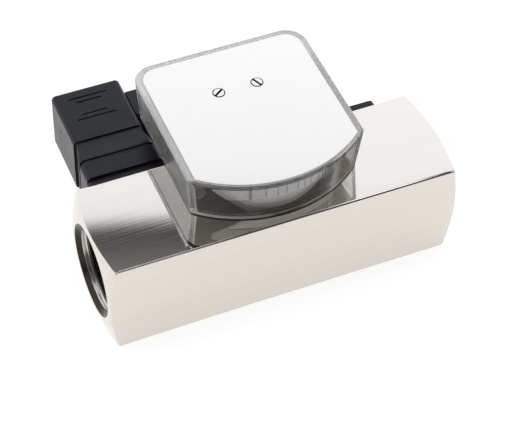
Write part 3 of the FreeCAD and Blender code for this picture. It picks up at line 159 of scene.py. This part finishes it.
bpy.ops.mesh.primitive_plane_add(size=CARD_SIZE, location=(0, 0, 0))
floor = bpy.context.object
floor.name = "floor_card"
card = bpy.data.materials.new("white_card")
card.use_nodes = True
card_tree = card.node_tree
card_tree.nodes.clear()
card_plain = new_node(card_tree, "BsdfDiffuse")
set_inputs(card_plain, Color=(0.8, 0.8, 0.79, 1))
card_shade = new_node(card_tree, "BsdfDiffuse")
set_inputs(card_shade, Color=(0.28, 0.27, 0.26, 1))
card_white = new_node(card_tree, "Emission")
set_inputs(card_white, Strength=CARD_GLOW)
card_seen = new_node(card_tree, "AddShader")
card_path = new_node(card_tree, "LightPath")
card_mirror = new_node(card_tree, "Math", operation="ADD")
card_any = new_node(card_tree, "Math", operation="ADD", use_clamp=True)
card_mix = new_node(card_tree, "MixShader")
card_out = new_node(card_tree, "OutputMaterial")
plug_in(card_tree, card_path, "Is Glossy Ray", card_mirror, 0)
plug_in(card_tree, card_path, "Is Transmission Ray", card_mirror, 1)
plug_in(card_tree, card_mirror, "Value", card_any, 0)
plug_in(card_tree, card_path, "Is Camera Ray", card_any, 1)
plug_in(card_tree, card_shade, "BSDF", card_seen, 0)
plug_in(card_tree, card_white, "Emission", card_seen, 1)
plug_in(card_tree, card_any, "Value", card_mix, "Fac")
plug_in(card_tree, card_plain, "BSDF", card_mix, 1)
plug_in(card_tree, card_seen, "Shader", card_mix, 2)
plug_in(card_tree, card_mix, "Shader", card_out, "Surface")
floor.data.materials.append(card)


# Flow body: square brass bar, drawn, drilled and tapped with a pipe thread at both ends, then
# nickel plated. The drawing leaves fine lines along the bar that pull reflections into streaks.
# The first two lines number the sockets of a Mix node, for colours and for vectors.
COLOUR_A, COLOUR_B, COLOUR_OUT = 6, 7, 2
VECTOR_A, VECTOR_B, VECTOR_OUT = 4, 5, 1
NOISE_LOW, NOISE_HIGH = 0.3, 0.7
SHARP_ANGLE = math.radians(25)
SMOOTH_ANGLE = math.radians(30)
MERGE_DISTANCE = 1e-6
SAME_PLACE = 2e-5


def new_group(name, entries, exits):
    """A node group with number inputs, and its input and output nodes."""
    group = bpy.data.node_groups.new(name, "ShaderNodeTree")
    for entry, start in entries.items():
        socket = group.interface.new_socket(entry, in_out="INPUT", socket_type="NodeSocketFloat")
        socket.default_value = start
    for leave, kind in exits.items():
        group.interface.new_socket(leave, in_out="OUTPUT", socket_type="NodeSocket" + kind)
    return group, group.nodes.new("NodeGroupInput"), group.nodes.new("NodeGroupOutput")


edge_group, edge_in, edge_out = new_group("soft_edge", {"Radius": 0.0002}, {"Normal": "Vector"})
edge_round = new_node(edge_group, "Bevel", samples=6)
plug_in(edge_group, edge_in, "Radius", edge_round, "Radius")
plug_in(edge_group, edge_round, "Normal", edge_out, "Normal")

line_group, line_in, line_out = new_group("drawn_lines", {"Along": 15.0, "Across": 2500.0},
                                          {"Lines": "Float", "Bands": "Float"})
line_place = new_node(line_group, "TexCoord")
line_scale = new_node(line_group, "CombineXYZ")
line_stretch = new_node(line_group, "VectorMath", operation="MULTIPLY")
line_fine = new_node(line_group, "TexNoise")
set_inputs(line_fine, Scale=1.0, Detail=3.0, Roughness=0.6)
line_broad = new_node(line_group, "TexNoise")
set_inputs(line_broad, Scale=0.16, Detail=2.0, Roughness=0.55)
for axis, entry in (("X", "Along"), ("Y", "Across"), ("Z", "Across")):
    plug_in(line_group, line_in, entry, line_scale, axis)
plug_in(line_group, line_place, "Object", line_stretch, 0)
plug_in(line_group, line_scale, "Vector", line_stretch, 1)
for noise, leave in ((line_fine, "Lines"), (line_broad, "Bands")):
    plug_in(line_group, line_stretch, "Vector", noise, "Vector")
    plug_in(line_group, noise, "Fac", line_out, leave)


def use_group(tree, group, **values):
    node = new_node(tree, "Group", node_tree=group)
    set_inputs(node, **values)
    return node


def new_material(name, **values):
    """A material with a Principled shader, its plain values set on the shader's own sockets."""
    material = bpy.data.materials.new(name)
    material.use_nodes = True
    shader = material.node_tree.nodes["Principled BSDF"]
    set_inputs(shader, **values)
    return material, material.node_tree, shader


def vary_colour(tree, shader, source, output, low, high):
    """Base colour from low to high over the range of a noise."""
    spread = new_node(tree, "MapRange")
    set_inputs(spread, From_Min=NOISE_LOW, From_Max=NOISE_HIGH)
    mix = new_node(tree, "Mix", data_type="RGBA")
    mix.inputs[COLOUR_A].default_value = (*low, 1)
    mix.inputs[COLOUR_B].default_value = (*high, 1)
    plug_in(tree, source, output, spread, "Value")
    plug_in(tree, spread, "Result", mix, 0)
    plug_in(tree, mix, COLOUR_OUT, shader, "Base Color")
    return mix


def vary_roughness(tree, shader, source, output, low, high):
    spread = new_node(tree, "MapRange")
    set_inputs(spread, From_Min=NOISE_LOW, From_Max=NOISE_HIGH, To_Min=low, To_Max=high)
    plug_in(tree, source, output, spread, "Value")
    plug_in(tree, spread, "Result", shader, "Roughness")
    return spread


def raise_surface(tree, shader, source, output, depth, edges):
    """Relief of the given depth in metres over rounded edges."""
    bump = new_node(tree, "Bump")
    set_inputs(bump, Strength=1.0, Distance=depth)
    plug_in(tree, source, output, bump, "Height")
    plug_in(tree, edges, "Normal", bump, "Normal")
    plug_in(tree, bump, "Normal", shader, "Normal")


def drawn_metal(name, low, high, roughness, along=15.0, across=1500.0, depth=2e-6, edge=0.0002):
    material, tree, shader = new_material(name, Metallic=1.0)
    lines = use_group(tree, line_group, Along=along, Across=across)
    edges = use_group(tree, edge_group, Radius=edge)
    vary_colour(tree, shader, lines, "Bands", low, high)
    vary_roughness(tree, shader, lines, "Lines", *roughness)
    raise_surface(tree, shader, lines, "Lines", depth, edges)
    return material


def dress(material, *names):
    for name in names:
        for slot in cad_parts[name].material_slots:
            slot.material = material


def select_only(*objects):
    deselect()
    for item in objects:
        item.select_set(True)
    bpy.context.view_layer.objects.active = objects[0]


def merged_copy(name, node):
    """A new piece from a copy of a node's mesh, its loose triangles merged."""
    piece = bpy.data.objects.new(name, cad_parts[node].data.copy())
    scene.collection.objects.link(piece)
    select_only(piece)
    bpy.ops.object.mode_set(mode="EDIT")
    bpy.ops.mesh.customdata_custom_splitnormals_clear()
    bpy.ops.mesh.select_all(action="SELECT")
    bpy.ops.mesh.remove_doubles(threshold=MERGE_DISTANCE)
    bpy.ops.object.mode_set(mode="OBJECT")
    return piece


def stand_for(node, piece, body, material):
    piece.data.materials.clear()
    piece.data.materials.append(material)
    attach(piece, body)
    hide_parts(node)


def softened(name, node, body, material, width, picked=None):
    """A copy of a node with its sharp edges, or the picked ones, rounded; it stands for the node."""
    piece = merged_copy(name, node)
    bpy.ops.object.modifier_add(type="BEVEL")
    rounding = piece.modifiers[-1]
    rounding.width = width
    rounding.segments = 2
    rounding.limit_method = "ANGLE"
    rounding.angle_limit = SHARP_ANGLE
    rounding.harden_normals = True
    if picked:
        rounding.segments = 4
        rounding.limit_method = "WEIGHT"
        weights = piece.data.attributes.new("bevel_weight_edge", "FLOAT", "EDGE")
        points = piece.data.vertices
        for edge in piece.data.edges:
            ends = [points[end].co for end in edge.vertices]
            weights.data[edge.index].value = picked(*ends)
    bpy.ops.object.shade_smooth_by_angle(angle=SMOOTH_ANGLE)
    bpy.ops.object.modifier_apply(modifier=rounding.name)
    stand_for(node, piece, body, material)


BODY_END = 0.0655
BODY_HALF = 0.02
BODY_ROUNDING = 0.00075
MOUTH_SHARE = 0.33
BORE_HEIGHT = 0.02
PORT_RADIUS = 0.017
PORT_BLEND = 0.00005
PORT_SEEN = 0.0055
PORT_ROUGHNESS = 0.20
THREAD_LEAN = 0.50
nickel, nickel_tree, nickel_shader = new_material("nickel_plate", Metallic=1.0)
nickel_lines = use_group(nickel_tree, line_group, Along=15.0, Across=1500.0)
nickel_edges = use_group(nickel_tree, edge_group, Radius=0.0003)
nickel_mix = vary_colour(nickel_tree, nickel_shader, nickel_lines, "Bands",
                         (0.71, 0.663, 0.613), (0.73, 0.683, 0.633))
raise_surface(nickel_tree, nickel_shader, nickel_lines, "Lines", 1e-6, nickel_edges)
nickel_place = new_node(nickel_tree, "TexCoord")
nickel_axis = new_node(nickel_tree, "VectorMath", operation="MULTIPLY_ADD")
nickel_axis.inputs[1].default_value = (0, 1, 1)
nickel_axis.inputs[2].default_value = (0, 0, -BORE_HEIGHT)
nickel_radius = new_node(nickel_tree, "VectorMath", operation="LENGTH")
nickel_inside = new_node(nickel_tree, "MapRange")
set_inputs(nickel_inside, From_Min=PORT_RADIUS - PORT_BLEND, From_Max=PORT_RADIUS + PORT_BLEND,
           To_Min=1.0, To_Max=0.0)
nickel_along = new_node(nickel_tree, "SeparateXYZ")
nickel_out = new_node(nickel_tree, "Math", operation="ABSOLUTE")
nickel_depth = new_node(nickel_tree, "MapRange")
set_inputs(nickel_depth, From_Min=BODY_END - PORT_SEEN, From_Max=BODY_END)
# The ramp runs out to the mouth of a port. Its colours are painted shade inside the port: darkest on the
# # mouth chamfer, dark deep in, lighter on the first turns; its alpha marks the turns of thread that
# face the mouth.
nickel_port = new_node(nickel_tree, "ValToRGB")
port_painted_shades = nickel_port.color_ramp.elements
port_painted_shades[0].position = 0.28
port_painted_shades[0].color = (0.20, 0.175, 0.145, 0)
port_painted_shades[1].position = 0.67
port_painted_shades[1].color = (0.035, 0.028, 0.019, 0)
for position in (0.32, 0.63):
    port_painted_shades.new(position).color = (0.60, 0.573, 0.54, 1)
nickel_turn = new_node(nickel_tree, "Math", operation="MULTIPLY")
nickel_way = new_node(nickel_tree, "Math", operation="SIGN")
nickel_slope = new_node(nickel_tree, "Math", operation="MULTIPLY")
nickel_slope.inputs[1].default_value = THREAD_LEAN
nickel_lean = new_node(nickel_tree, "CombineXYZ")
nickel_ray = new_node(nickel_tree, "VectorMath", operation="NORMALIZE")
nickel_flank = new_node(nickel_tree, "VectorMath", operation="SUBTRACT")
nickel_relief = nickel_shader.inputs["Normal"].links[0].from_node
nickel_tilt = new_node(nickel_tree, "Mix", data_type="VECTOR")
nickel_normal = new_node(nickel_tree, "VectorMath", operation="NORMALIZE")
# Inside a port the nickel's colour gives way to the ramp's painted shade.
nickel_port_painted_shade = new_node(nickel_tree, "Mix", data_type="RGBA")
nickel_polish = new_node(nickel_tree, "MapRange")
set_inputs(nickel_polish, From_Min=NOISE_LOW, From_Max=NOISE_HIGH, To_Min=0.02, To_Max=0.05)
nickel_rough = new_node(nickel_tree, "Math", operation="MULTIPLY_ADD")
nickel_rough.inputs[1].default_value = PORT_ROUGHNESS
plug_in(nickel_tree, nickel_place, "Object", nickel_axis, 0)
plug_in(nickel_tree, nickel_axis, "Vector", nickel_radius, 0)
plug_in(nickel_tree, nickel_radius, "Value", nickel_inside, "Value")
plug_in(nickel_tree, nickel_inside, "Result", nickel_port_painted_shade, 0)
plug_in(nickel_tree, nickel_inside, "Result", nickel_rough, 0)
plug_in(nickel_tree, nickel_lines, "Lines", nickel_polish, "Value")
plug_in(nickel_tree, nickel_polish, "Result", nickel_rough, 2)
plug_in(nickel_tree, nickel_rough, "Value", nickel_shader, "Roughness")
plug_in(nickel_tree, nickel_place, "Object", nickel_along, "Vector")
plug_in(nickel_tree, nickel_along, "X", nickel_out, 0)
plug_in(nickel_tree, nickel_out, "Value", nickel_depth, "Value")
plug_in(nickel_tree, nickel_depth, "Result", nickel_port, "Fac")
plug_in(nickel_tree, nickel_port, "Alpha", nickel_turn, 0)
plug_in(nickel_tree, nickel_inside, "Result", nickel_turn, 1)
plug_in(nickel_tree, nickel_along, "X", nickel_way, 0)
plug_in(nickel_tree, nickel_way, "Value", nickel_slope, 0)
plug_in(nickel_tree, nickel_slope, "Value", nickel_lean, "X")
plug_in(nickel_tree, nickel_axis, "Vector", nickel_ray, 0)
plug_in(nickel_tree, nickel_lean, "Vector", nickel_flank, 0)
plug_in(nickel_tree, nickel_ray, "Vector", nickel_flank, 1)
plug_in(nickel_tree, nickel_turn, "Value", nickel_tilt, 0)
plug_in(nickel_tree, nickel_relief, "Normal", nickel_tilt, VECTOR_A)
plug_in(nickel_tree, nickel_flank, "Vector", nickel_tilt, VECTOR_B)
plug_in(nickel_tree, nickel_tilt, VECTOR_OUT, nickel_normal, 0)
plug_in(nickel_tree, nickel_normal, "Vector", nickel_shader, "Normal")
plug_in(nickel_tree, nickel_mix, COLOUR_OUT, nickel_port_painted_shade, COLOUR_A)
plug_in(nickel_tree, nickel_port, "Color", nickel_port_painted_shade, COLOUR_B)
plug_in(nickel_tree, nickel_port_painted_shade, COLOUR_OUT, nickel_shader, "Base Color")


def near(value, wanted):
    return abs(value - wanted) < SAME_PLACE


def body_rounding(start, end):
    """Full rounding on the long edges, a third of it at the mouths of the ports, none elsewhere."""
    spots = (start, end)
    on_corner = [near(abs(spot.y), BODY_HALF) and near(abs(spot.z - BORE_HEIGHT), BODY_HALF)
                 for spot in spots]
    if all(on_corner) and near(start.y, end.y) and near(start.z, end.z):
        return 1.0
    on_mouth = [near(math.hypot(spot.y, spot.z - BORE_HEIGHT), PORT_RADIUS)
                and near(abs(spot.x), BODY_END) for spot in spots]
    return MOUTH_SHARE if all(on_mouth) else 0.0


softened("nickel_body", "flow_body", "meter", nickel, BODY_ROUNDING, body_rounding)


# Measuring stack in the bore, held between two spring steel circlips: turned brass sleeve and
# spacer, moulded guides, and a moulded float with its magnet that slides on a steel rod.
CLOUD_SHARE = 0.03
grain_group, grain_in, grain_out = new_group("moulded_grain", {"Scale": 4000.0},
                                             {"Height": "Float", "Cloud": "Float"})
grain_place = new_node(grain_group, "TexCoord")
grain_fine = new_node(grain_group, "TexNoise")
set_inputs(grain_fine, Detail=2.0, Roughness=0.5)
grain_share = new_node(grain_group, "Math", operation="MULTIPLY")
grain_share.inputs[1].default_value = CLOUD_SHARE
grain_cloud = new_node(grain_group, "TexNoise")
set_inputs(grain_cloud, Detail=3.0, Roughness=0.6)
plug_in(grain_group, grain_in, "Scale", grain_fine, "Scale")
plug_in(grain_group, grain_in, "Scale", grain_share, 0)
plug_in(grain_group, grain_share, "Value", grain_cloud, "Scale")
for noise, leave in ((grain_fine, "Height"), (grain_cloud, "Cloud")):
    plug_in(grain_group, grain_place, "Object", noise, "Vector")
    plug_in(grain_group, noise, "Fac", grain_out, leave)


def moulding(name, low, high, roughness, grain=4000.0, depth=8e-6, edge=0.00025, **values):
    """Plastic, rubber, glass or paint: clouded colour and gloss over a fine grain."""
    material, tree, shader = new_material(name, **values)
    grains = use_group(tree, grain_group, Scale=grain)
    edges = use_group(tree, edge_group, Radius=edge)
    vary_colour(tree, shader, grains, "Cloud", low, high)
    vary_roughness(tree, shader, grains, "Cloud", *roughness)
    raise_surface(tree, shader, grains, "Height", depth, edges)
    return material


steel = drawn_metal("bright_steel", (0.56, 0.56, 0.57), (0.68, 0.68, 0.68), (0.16, 0.28), along=300.0)
brass = drawn_metal("turned_brass", (0.72, 0.52, 0.24), (0.82, 0.64, 0.34), (0.18, 0.30),
                    along=2500.0, across=40.0)
white_plastic = moulding("white_moulding", (0.74, 0.74, 0.71), (0.82, 0.82, 0.79), (0.35, 0.45))
sintered = moulding("sintered_magnet", (0.05, 0.05, 0.055), (0.09, 0.09, 0.095), (0.45, 0.6),
                    Metallic=0.6)
rubber = moulding("black_rubber", (0.012, 0.012, 0.012), (0.022, 0.022, 0.022), (0.6, 0.75))
dress(steel, "inlet_circlip", "outlet_circlip", "guide_rod", "rod_nut")
dress(brass, "metering_sleeve", "spacer_tube")
dress(white_plastic, "inlet_guide", "outlet_guide", "float_piston", "float_collar")
dress(sintered, "float_magnet")
dress(rubber, "sleeve_seal")


# Return spring: coiled from steel wire between the float and the outlet guide. In the meter it shortens
# as
# # the flow pushes the float along the rod; here it stays at rest length, on a mesh of its own.
coil_spring = merged_copy("coil_spring", "return_spring")
bpy.ops.object.shade_smooth_by_angle(angle=SMOOTH_ANGLE)
stand_for("return_spring", coil_spring, "meter", steel)
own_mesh(coil_spring)


# Floor of the head: a thin gasket cut from pale silicone sheet on the body's top face, with painted
# # shade on its cut edges, and a steel base plate coloured dark brown as painted shade of the head's
# floor,
# # screwed down through it with four countersunk screws.
silicone = moulding("pale_silicone", (0.82, 0.82, 0.81), (0.88, 0.88, 0.87), (0.4, 0.5))
silicone_tree = silicone.node_tree
silicone_shader = silicone_tree.nodes["Principled BSDF"]
silicone_pale = silicone_shader.inputs["Base Color"].links[0].from_node
silicone_place = new_node(silicone_tree, "TexCoord")
silicone_facing = new_node(silicone_tree, "SeparateXYZ")
# Painted shade: faces that turn away from facing up, the cut edges, go dark.
silicone_painted_edge_shade = new_node(silicone_tree, "Mix", data_type="RGBA")
silicone_painted_edge_shade.inputs[COLOUR_A].default_value = (0.05, 0.05, 0.048, 1)
plug_in(silicone_tree, silicone_place, "Normal", silicone_facing, "Vector")
plug_in(silicone_tree, silicone_facing, "Z", silicone_painted_edge_shade, 0)
plug_in(silicone_tree, silicone_pale, COLOUR_OUT, silicone_painted_edge_shade, COLOUR_B)
plug_in(silicone_tree, silicone_painted_edge_shade, COLOUR_OUT, silicone_shader, "Base Color")
dress(silicone, "head_gasket")
# The base plate's dark brown is painted shade of the shaded floor inside the head.
painted_shade_steel = drawn_metal("painted_shade_steel", (0.17, 0.13, 0.08), (0.23, 0.18, 0.12), (0.25, 0.38),
                            along=60.0)
dress(painted_shade_steel, "base_plate")
dress(steel, "base_screws")


# Pointer work: a brass frame with two bushes carries the pin; the black pointer reaches over the
# top of the scale, moved by the magnet on its arm and balanced by a brass weight.
black_paint = moulding("black_paint", (0.010, 0.010, 0.011), (0.018, 0.018, 0.019), (0.4, 0.5))
dress(brass, "pivot_frame", "pivot_bushes", "pointer_counterweight")
dress(steel, "frame_screws", "pivot_pin")
dress(black_paint, "pointer")
dress(sintered, "pointer_magnet")


# Scale: a satin metal strip bent about the pivot with a white face, both coloured darker as painted
# shade
# # inside the head. Black divisions, wide apart at low flow and close at high flow, and small figures
# above them are printed on the white.
# The plate's dark grey and the print's greyed white are painted shade inside the head.
scale_metal_painted_shade = drawn_metal("satin_aluminium_painted_shade", (0.31, 0.305, 0.29), (0.38, 0.375, 0.36), (0.3, 0.42))
scale_white_painted_shade = moulding("white_print_painted_shade", (0.55, 0.55, 0.54), (0.61, 0.61, 0.60), (0.3, 0.4))
scale_ink = moulding("black_ink", (0.008, 0.008, 0.009), (0.016, 0.016, 0.017), (0.4, 0.55))
dress(scale_metal_painted_shade, "scale_plate")
dress(scale_white_painted_shade, "scale_strip")

PIVOT_X, PIVOT_Y = 0.0007, 0.0303
INK_RADIUS = 0.04359
INK_THICKNESS = 0.00003
DIVISION_WIDTH = 0.00032
DIVISION_LOW, DIVISION_HIGH = 0.0482, 0.0517
DIVISIONS = (-16.0, -9.5, -4.0, 0.1, 5.5, 9.1, 12.2, 16.5, 18.6, 20.6, 22.4, 24.1)
FIGURES = ((-9.5, "2"), (0.1, "4"), (9.1, "6"), (16.5, "8"), (22.4, "10"))
FIGURE_HEIGHT = 0.0019
FIGURE_LOW = 0.0521


def on_scale(degrees):
    """Place on the printed face at an angle from straight ahead, towards the outlet."""
    turn = math.radians(degrees)
    return PIVOT_X + INK_RADIUS * math.sin(turn), PIVOT_Y - INK_RADIUS * math.cos(turn), turn


def apply_place(item):
    select_only(item)
    bpy.ops.object.transform_apply(location=True, rotation=True, scale=True)


prints = []
for degrees in DIVISIONS:
    across, ahead, turn = on_scale(degrees)
    bpy.ops.mesh.primitive_cube_add(size=1, location=(across, ahead, (DIVISION_LOW + DIVISION_HIGH) / 2),
                                    rotation=(0, 0, turn))
    division = bpy.context.object
    division.scale = (DIVISION_WIDTH, INK_THICKNESS, DIVISION_HIGH - DIVISION_LOW)
    apply_place(division)
    bpy.ops.object.mode_set(mode="EDIT")
    bpy.ops.mesh.select_all(action="SELECT")
    bpy.ops.mesh.bevel(offset=INK_THICKNESS / 4, segments=1, affect="EDGES")
    bpy.ops.object.mode_set(mode="OBJECT")
    prints.append(division)
for degrees, figure in FIGURES:
    across, ahead, turn = on_scale(degrees)
    bpy.ops.object.text_add(location=(across, ahead, FIGURE_LOW), rotation=(math.pi / 2, 0, turn))
    text = bpy.context.object
    text.data.body = figure
    text.data.size = FIGURE_HEIGHT
    text.data.align_x = "CENTER"
    text.data.extrude = INK_THICKNESS / 2
    select_only(text)
    bpy.ops.object.convert(target="MESH")
    apply_place(text)
    prints.append(text)
select_only(*prints)
bpy.ops.object.join()
scale_print = bpy.context.object
scale_print.name = "scale_print"
scale_print.data.materials.clear()
scale_print.data.materials.append(scale_ink)
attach(scale_print, "meter")


# Clear cap: moulded in clear acrylic with a polished curved front wall, drafted satin sides and a
# lightly sanded rim. Its edges are slightly round, which gives the light lines along every corner.
CAP_TOP = 0.058
CAP_ROUNDING = 0.00025
RIM_FROM, RIM_FULL = CAP_TOP - 0.0008, CAP_TOP - 0.0003
RIM_ROUGHNESS = 0.06
WALL_CLEAR, RIM_CLEAR = 0.994, 0.85
FRONT_ROUGHNESS, SIDE_ROUGHNESS = 0.01, 0.24
acrylic, acrylic_tree, acrylic_shader = new_material("clear_acrylic", Metallic=0.0, IOR=1.49,
                                                     Base_Color=(0.975, 0.97, 0.963, 1))
acrylic_place = new_node(acrylic_tree, "TexCoord")
acrylic_height = new_node(acrylic_tree, "SeparateXYZ")
acrylic_rim = new_node(acrylic_tree, "MapRange")
set_inputs(acrylic_rim, From_Min=RIM_FROM, From_Max=RIM_FULL, To_Max=RIM_ROUGHNESS)
acrylic_clear = new_node(acrylic_tree, "MapRange")
set_inputs(acrylic_clear, From_Min=RIM_FROM, From_Max=RIM_FULL, To_Min=WALL_CLEAR, To_Max=RIM_CLEAR)
acrylic_facing = new_node(acrylic_tree, "SeparateXYZ")
acrylic_aside = new_node(acrylic_tree, "Math", operation="ABSOLUTE")
acrylic_flank = new_node(acrylic_tree, "MapRange")
set_inputs(acrylic_flank, From_Min=0.95, From_Max=0.99, To_Min=FRONT_ROUGHNESS, To_Max=SIDE_ROUGHNESS)
acrylic_matt = new_node(acrylic_tree, "Math", operation="MAXIMUM")
plug_in(acrylic_tree, acrylic_place, "Object", acrylic_height, "Vector")
plug_in(acrylic_tree, acrylic_height, "Z", acrylic_rim, "Value")
plug_in(acrylic_tree, acrylic_height, "Z", acrylic_clear, "Value")
plug_in(acrylic_tree, acrylic_clear, "Result", acrylic_shader, "Transmission Weight")
plug_in(acrylic_tree, acrylic_place, "Normal", acrylic_facing, "Vector")
plug_in(acrylic_tree, acrylic_facing, "X", acrylic_aside, 0)
plug_in(acrylic_tree, acrylic_aside, "Value", acrylic_flank, "Value")
plug_in(acrylic_tree, acrylic_rim, "Result", acrylic_matt, 0)
plug_in(acrylic_tree, acrylic_flank, "Result", acrylic_matt, 1)
plug_in(acrylic_tree, acrylic_matt, "Value", acrylic_shader, "Roughness")
acrylic_path = new_node(acrylic_tree, "LightPath")
acrylic_lamp = new_node(acrylic_tree, "Math", operation="MAXIMUM")
acrylic_open = new_node(acrylic_tree, "BsdfTransparent")
set_inputs(acrylic_open, Color=(0.93, 0.93, 0.92, 1))
acrylic_mix = new_node(acrylic_tree, "MixShader")
plug_in(acrylic_tree, acrylic_path, "Is Shadow Ray", acrylic_lamp, 0)
plug_in(acrylic_tree, acrylic_path, "Is Diffuse Ray", acrylic_lamp, 1)
plug_in(acrylic_tree, acrylic_lamp, "Value", acrylic_mix, "Fac")
plug_in(acrylic_tree, acrylic_shader, "BSDF", acrylic_mix, 1)
plug_in(acrylic_tree, acrylic_open, "BSDF", acrylic_mix, 2)
plug_in(acrylic_tree, acrylic_mix, "Shader", acrylic_tree.nodes["Material Output"], "Surface")
softened("acrylic_cap", "clear_cap", "meter", acrylic, CAP_ROUNDING)


# Cover plate: stamped metal let into the top of the cap, polished above and lacquered grey below, held
# # by two slotted countersunk screws that reach down into the pivot frame. Painted shade darkens their
# # slots and seats.
COVER_SCREW_SPREAD = 0.0072
COVER_SCREW_Y = 0.0292
SCREW_RIM, SCREW_SEAT = 0.0019, 0.0023
SLOT_BELOW = -0.00003
# Mask for painted shade: rings round the cover screws' heads and seats, and what lies below the plate's
# top near them.
seat_group, seat_in, seat_out = new_group("screw_seat", {"Inner": SCREW_RIM}, {"PaintedShade": "Float"})
seat_place = new_node(seat_group, "TexCoord")
seat_centre = new_node(seat_group, "VectorMath", operation="SUBTRACT")
seat_centre.inputs[1].default_value = (PIVOT_X, COVER_SCREW_Y, CAP_TOP)
seat_sides = new_node(seat_group, "VectorMath", operation="ABSOLUTE")
seat_offset = new_node(seat_group, "VectorMath", operation="SUBTRACT")
seat_offset.inputs[1].default_value = (COVER_SCREW_SPREAD, 0, 0)
seat_flat = new_node(seat_group, "VectorMath", operation="MULTIPLY")
seat_flat.inputs[1].default_value = (1, 1, 0)
seat_radius = new_node(seat_group, "VectorMath", operation="LENGTH")
seat_ring = new_node(seat_group, "Math", operation="GREATER_THAN")
seat_reach = new_node(seat_group, "Math", operation="LESS_THAN")
seat_reach.inputs[1].default_value = SCREW_SEAT
seat_height = new_node(seat_group, "SeparateXYZ")
seat_low = new_node(seat_group, "Math", operation="LESS_THAN")
seat_low.inputs[1].default_value = SLOT_BELOW
seat_either = new_node(seat_group, "Math", operation="MAXIMUM")
seat_painted_shade = new_node(seat_group, "Math", operation="MULTIPLY")
plug_in(seat_group, seat_place, "Object", seat_centre, 0)
plug_in(seat_group, seat_centre, "Vector", seat_sides, 0)
plug_in(seat_group, seat_sides, "Vector", seat_offset, 0)
plug_in(seat_group, seat_offset, "Vector", seat_flat, 0)
plug_in(seat_group, seat_flat, "Vector", seat_radius, 0)
plug_in(seat_group, seat_radius, "Value", seat_ring, 0)
plug_in(seat_group, seat_in, "Inner", seat_ring, 1)
plug_in(seat_group, seat_radius, "Value", seat_reach, 0)
plug_in(seat_group, seat_centre, "Vector", seat_height, "Vector")
plug_in(seat_group, seat_height, "Z", seat_low, 0)
plug_in(seat_group, seat_ring, "Value", seat_either, 0)
plug_in(seat_group, seat_low, "Value", seat_either, 1)
plug_in(seat_group, seat_either, "Value", seat_painted_shade, 0)
plug_in(seat_group, seat_reach, "Value", seat_painted_shade, 1)
plug_in(seat_group, seat_painted_shade, "Value", seat_out, "PaintedShade")


def metal_with_painted_shade(name, low, high, roughness, grain):
    """Metal polished on top and lacquered below, with painted shade round and in the cover screws."""
    material, tree, shader = new_material(name)
    lines = use_group(tree, line_group, Along=grain, Across=1500.0)
    edges = use_group(tree, edge_group, Radius=0.0001)
    plain_colour = vary_colour(tree, shader, lines, "Bands", low, high)
    polish = vary_roughness(tree, shader, lines, "Lines", *roughness)
    raise_surface(tree, shader, lines, "Lines", 5e-7, edges)
    place = new_node(tree, "TexCoord")
    facing = new_node(tree, "SeparateXYZ")
    matt = new_node(tree, "MapRange")
    set_inputs(matt, From_Min=0.5, From_Max=-0.5, To_Max=0.6)
    finish = new_node(tree, "Math", operation="MAXIMUM")
    bare = new_node(tree, "MapRange")
    set_inputs(bare, From_Min=-0.5, From_Max=0.5)
    plug_in(tree, place, "Normal", facing, "Vector")
    plug_in(tree, facing, "Z", matt, "Value")
    plug_in(tree, facing, "Z", bare, "Value")
    plug_in(tree, bare, "Result", shader, "Metallic")
    plug_in(tree, matt, "Result", finish, 0)
    plug_in(tree, polish, "Result", finish, 1)
    plug_in(tree, finish, "Value", shader, "Roughness")
    # Painted shade goes into the colour where the seat mask is set.
    seats = use_group(tree, seat_group)
    lacquer = new_node(tree, "Mix", data_type="RGBA")
    lacquer.inputs[COLOUR_A].default_value = (0.60, 0.59, 0.57, 1)
    painted_shade_mix = new_node(tree, "Mix", data_type="RGBA")
    painted_shade_mix.inputs[COLOUR_B].default_value = (0.03, 0.028, 0.026, 1)
    plug_in(tree, bare, "Result", lacquer, 0)
    plug_in(tree, plain_colour, COLOUR_OUT, lacquer, COLOUR_B)
    plug_in(tree, seats, "PaintedShade", painted_shade_mix, 0)
    plug_in(tree, lacquer, COLOUR_OUT, painted_shade_mix, COLOUR_A)
    plug_in(tree, painted_shade_mix, COLOUR_OUT, shader, "Base Color")
    return material


polished_plate = metal_with_painted_shade("polished_plate", (0.735, 0.71, 0.68), (0.745, 0.72, 0.69), (0.05, 0.07),
                              15.0)
screw_steel = metal_with_painted_shade("screw_steel", (0.68, 0.67, 0.65), (0.74, 0.73, 0.71), (0.06, 0.12), 900.0)
dress(polished_plate, "cover_plate")
dress(screw_steel, "cover_screws")


# Reed switch: a long moulded housing on the rear face, clamped by two socket screws in slots so
# that it can slide. A lacquered board inside it carries the glass reed contact.
black_plastic = moulding("black_moulding", (0.007, 0.0075, 0.011), (0.011, 0.0115, 0.016), (0.30, 0.38),
                         Specular_IOR_Level=0.25)
board_green = moulding("lacquered_board", (0.03, 0.16, 0.07), (0.05, 0.22, 0.10), (0.2, 0.3))
reed_glass = moulding("reed_glass", (0.45, 0.62, 0.48), (0.55, 0.70, 0.56), (0.05, 0.1),
                      Transmission_Weight=0.6)
red_wire = moulding("red_insulation", (0.34, 0.015, 0.015), (0.42, 0.03, 0.03), (0.35, 0.45))
dress(black_plastic, "switch_housing", "switch_lid")
dress(steel, "clamp_screws", "clamp_washers")
dress(board_green, "reed_board")
dress(reed_glass, "reed_contact")
dress(red_wire, "reed_wires")


# Plug connection: a square socket with four blades on the housing, a rubber gasket, and a moulded
# plug held by one long screw, with a hexagon gland nut on its side for the cable.
dress(black_plastic, "connector_socket", "plug_housing", "terminal_insert", "gland_nut")
dress(rubber, "plug_gasket", "gland_seal")
dress(brass, "socket_blades")
dress(steel, "terminal_screws", "plug_screw", "gland_washer")
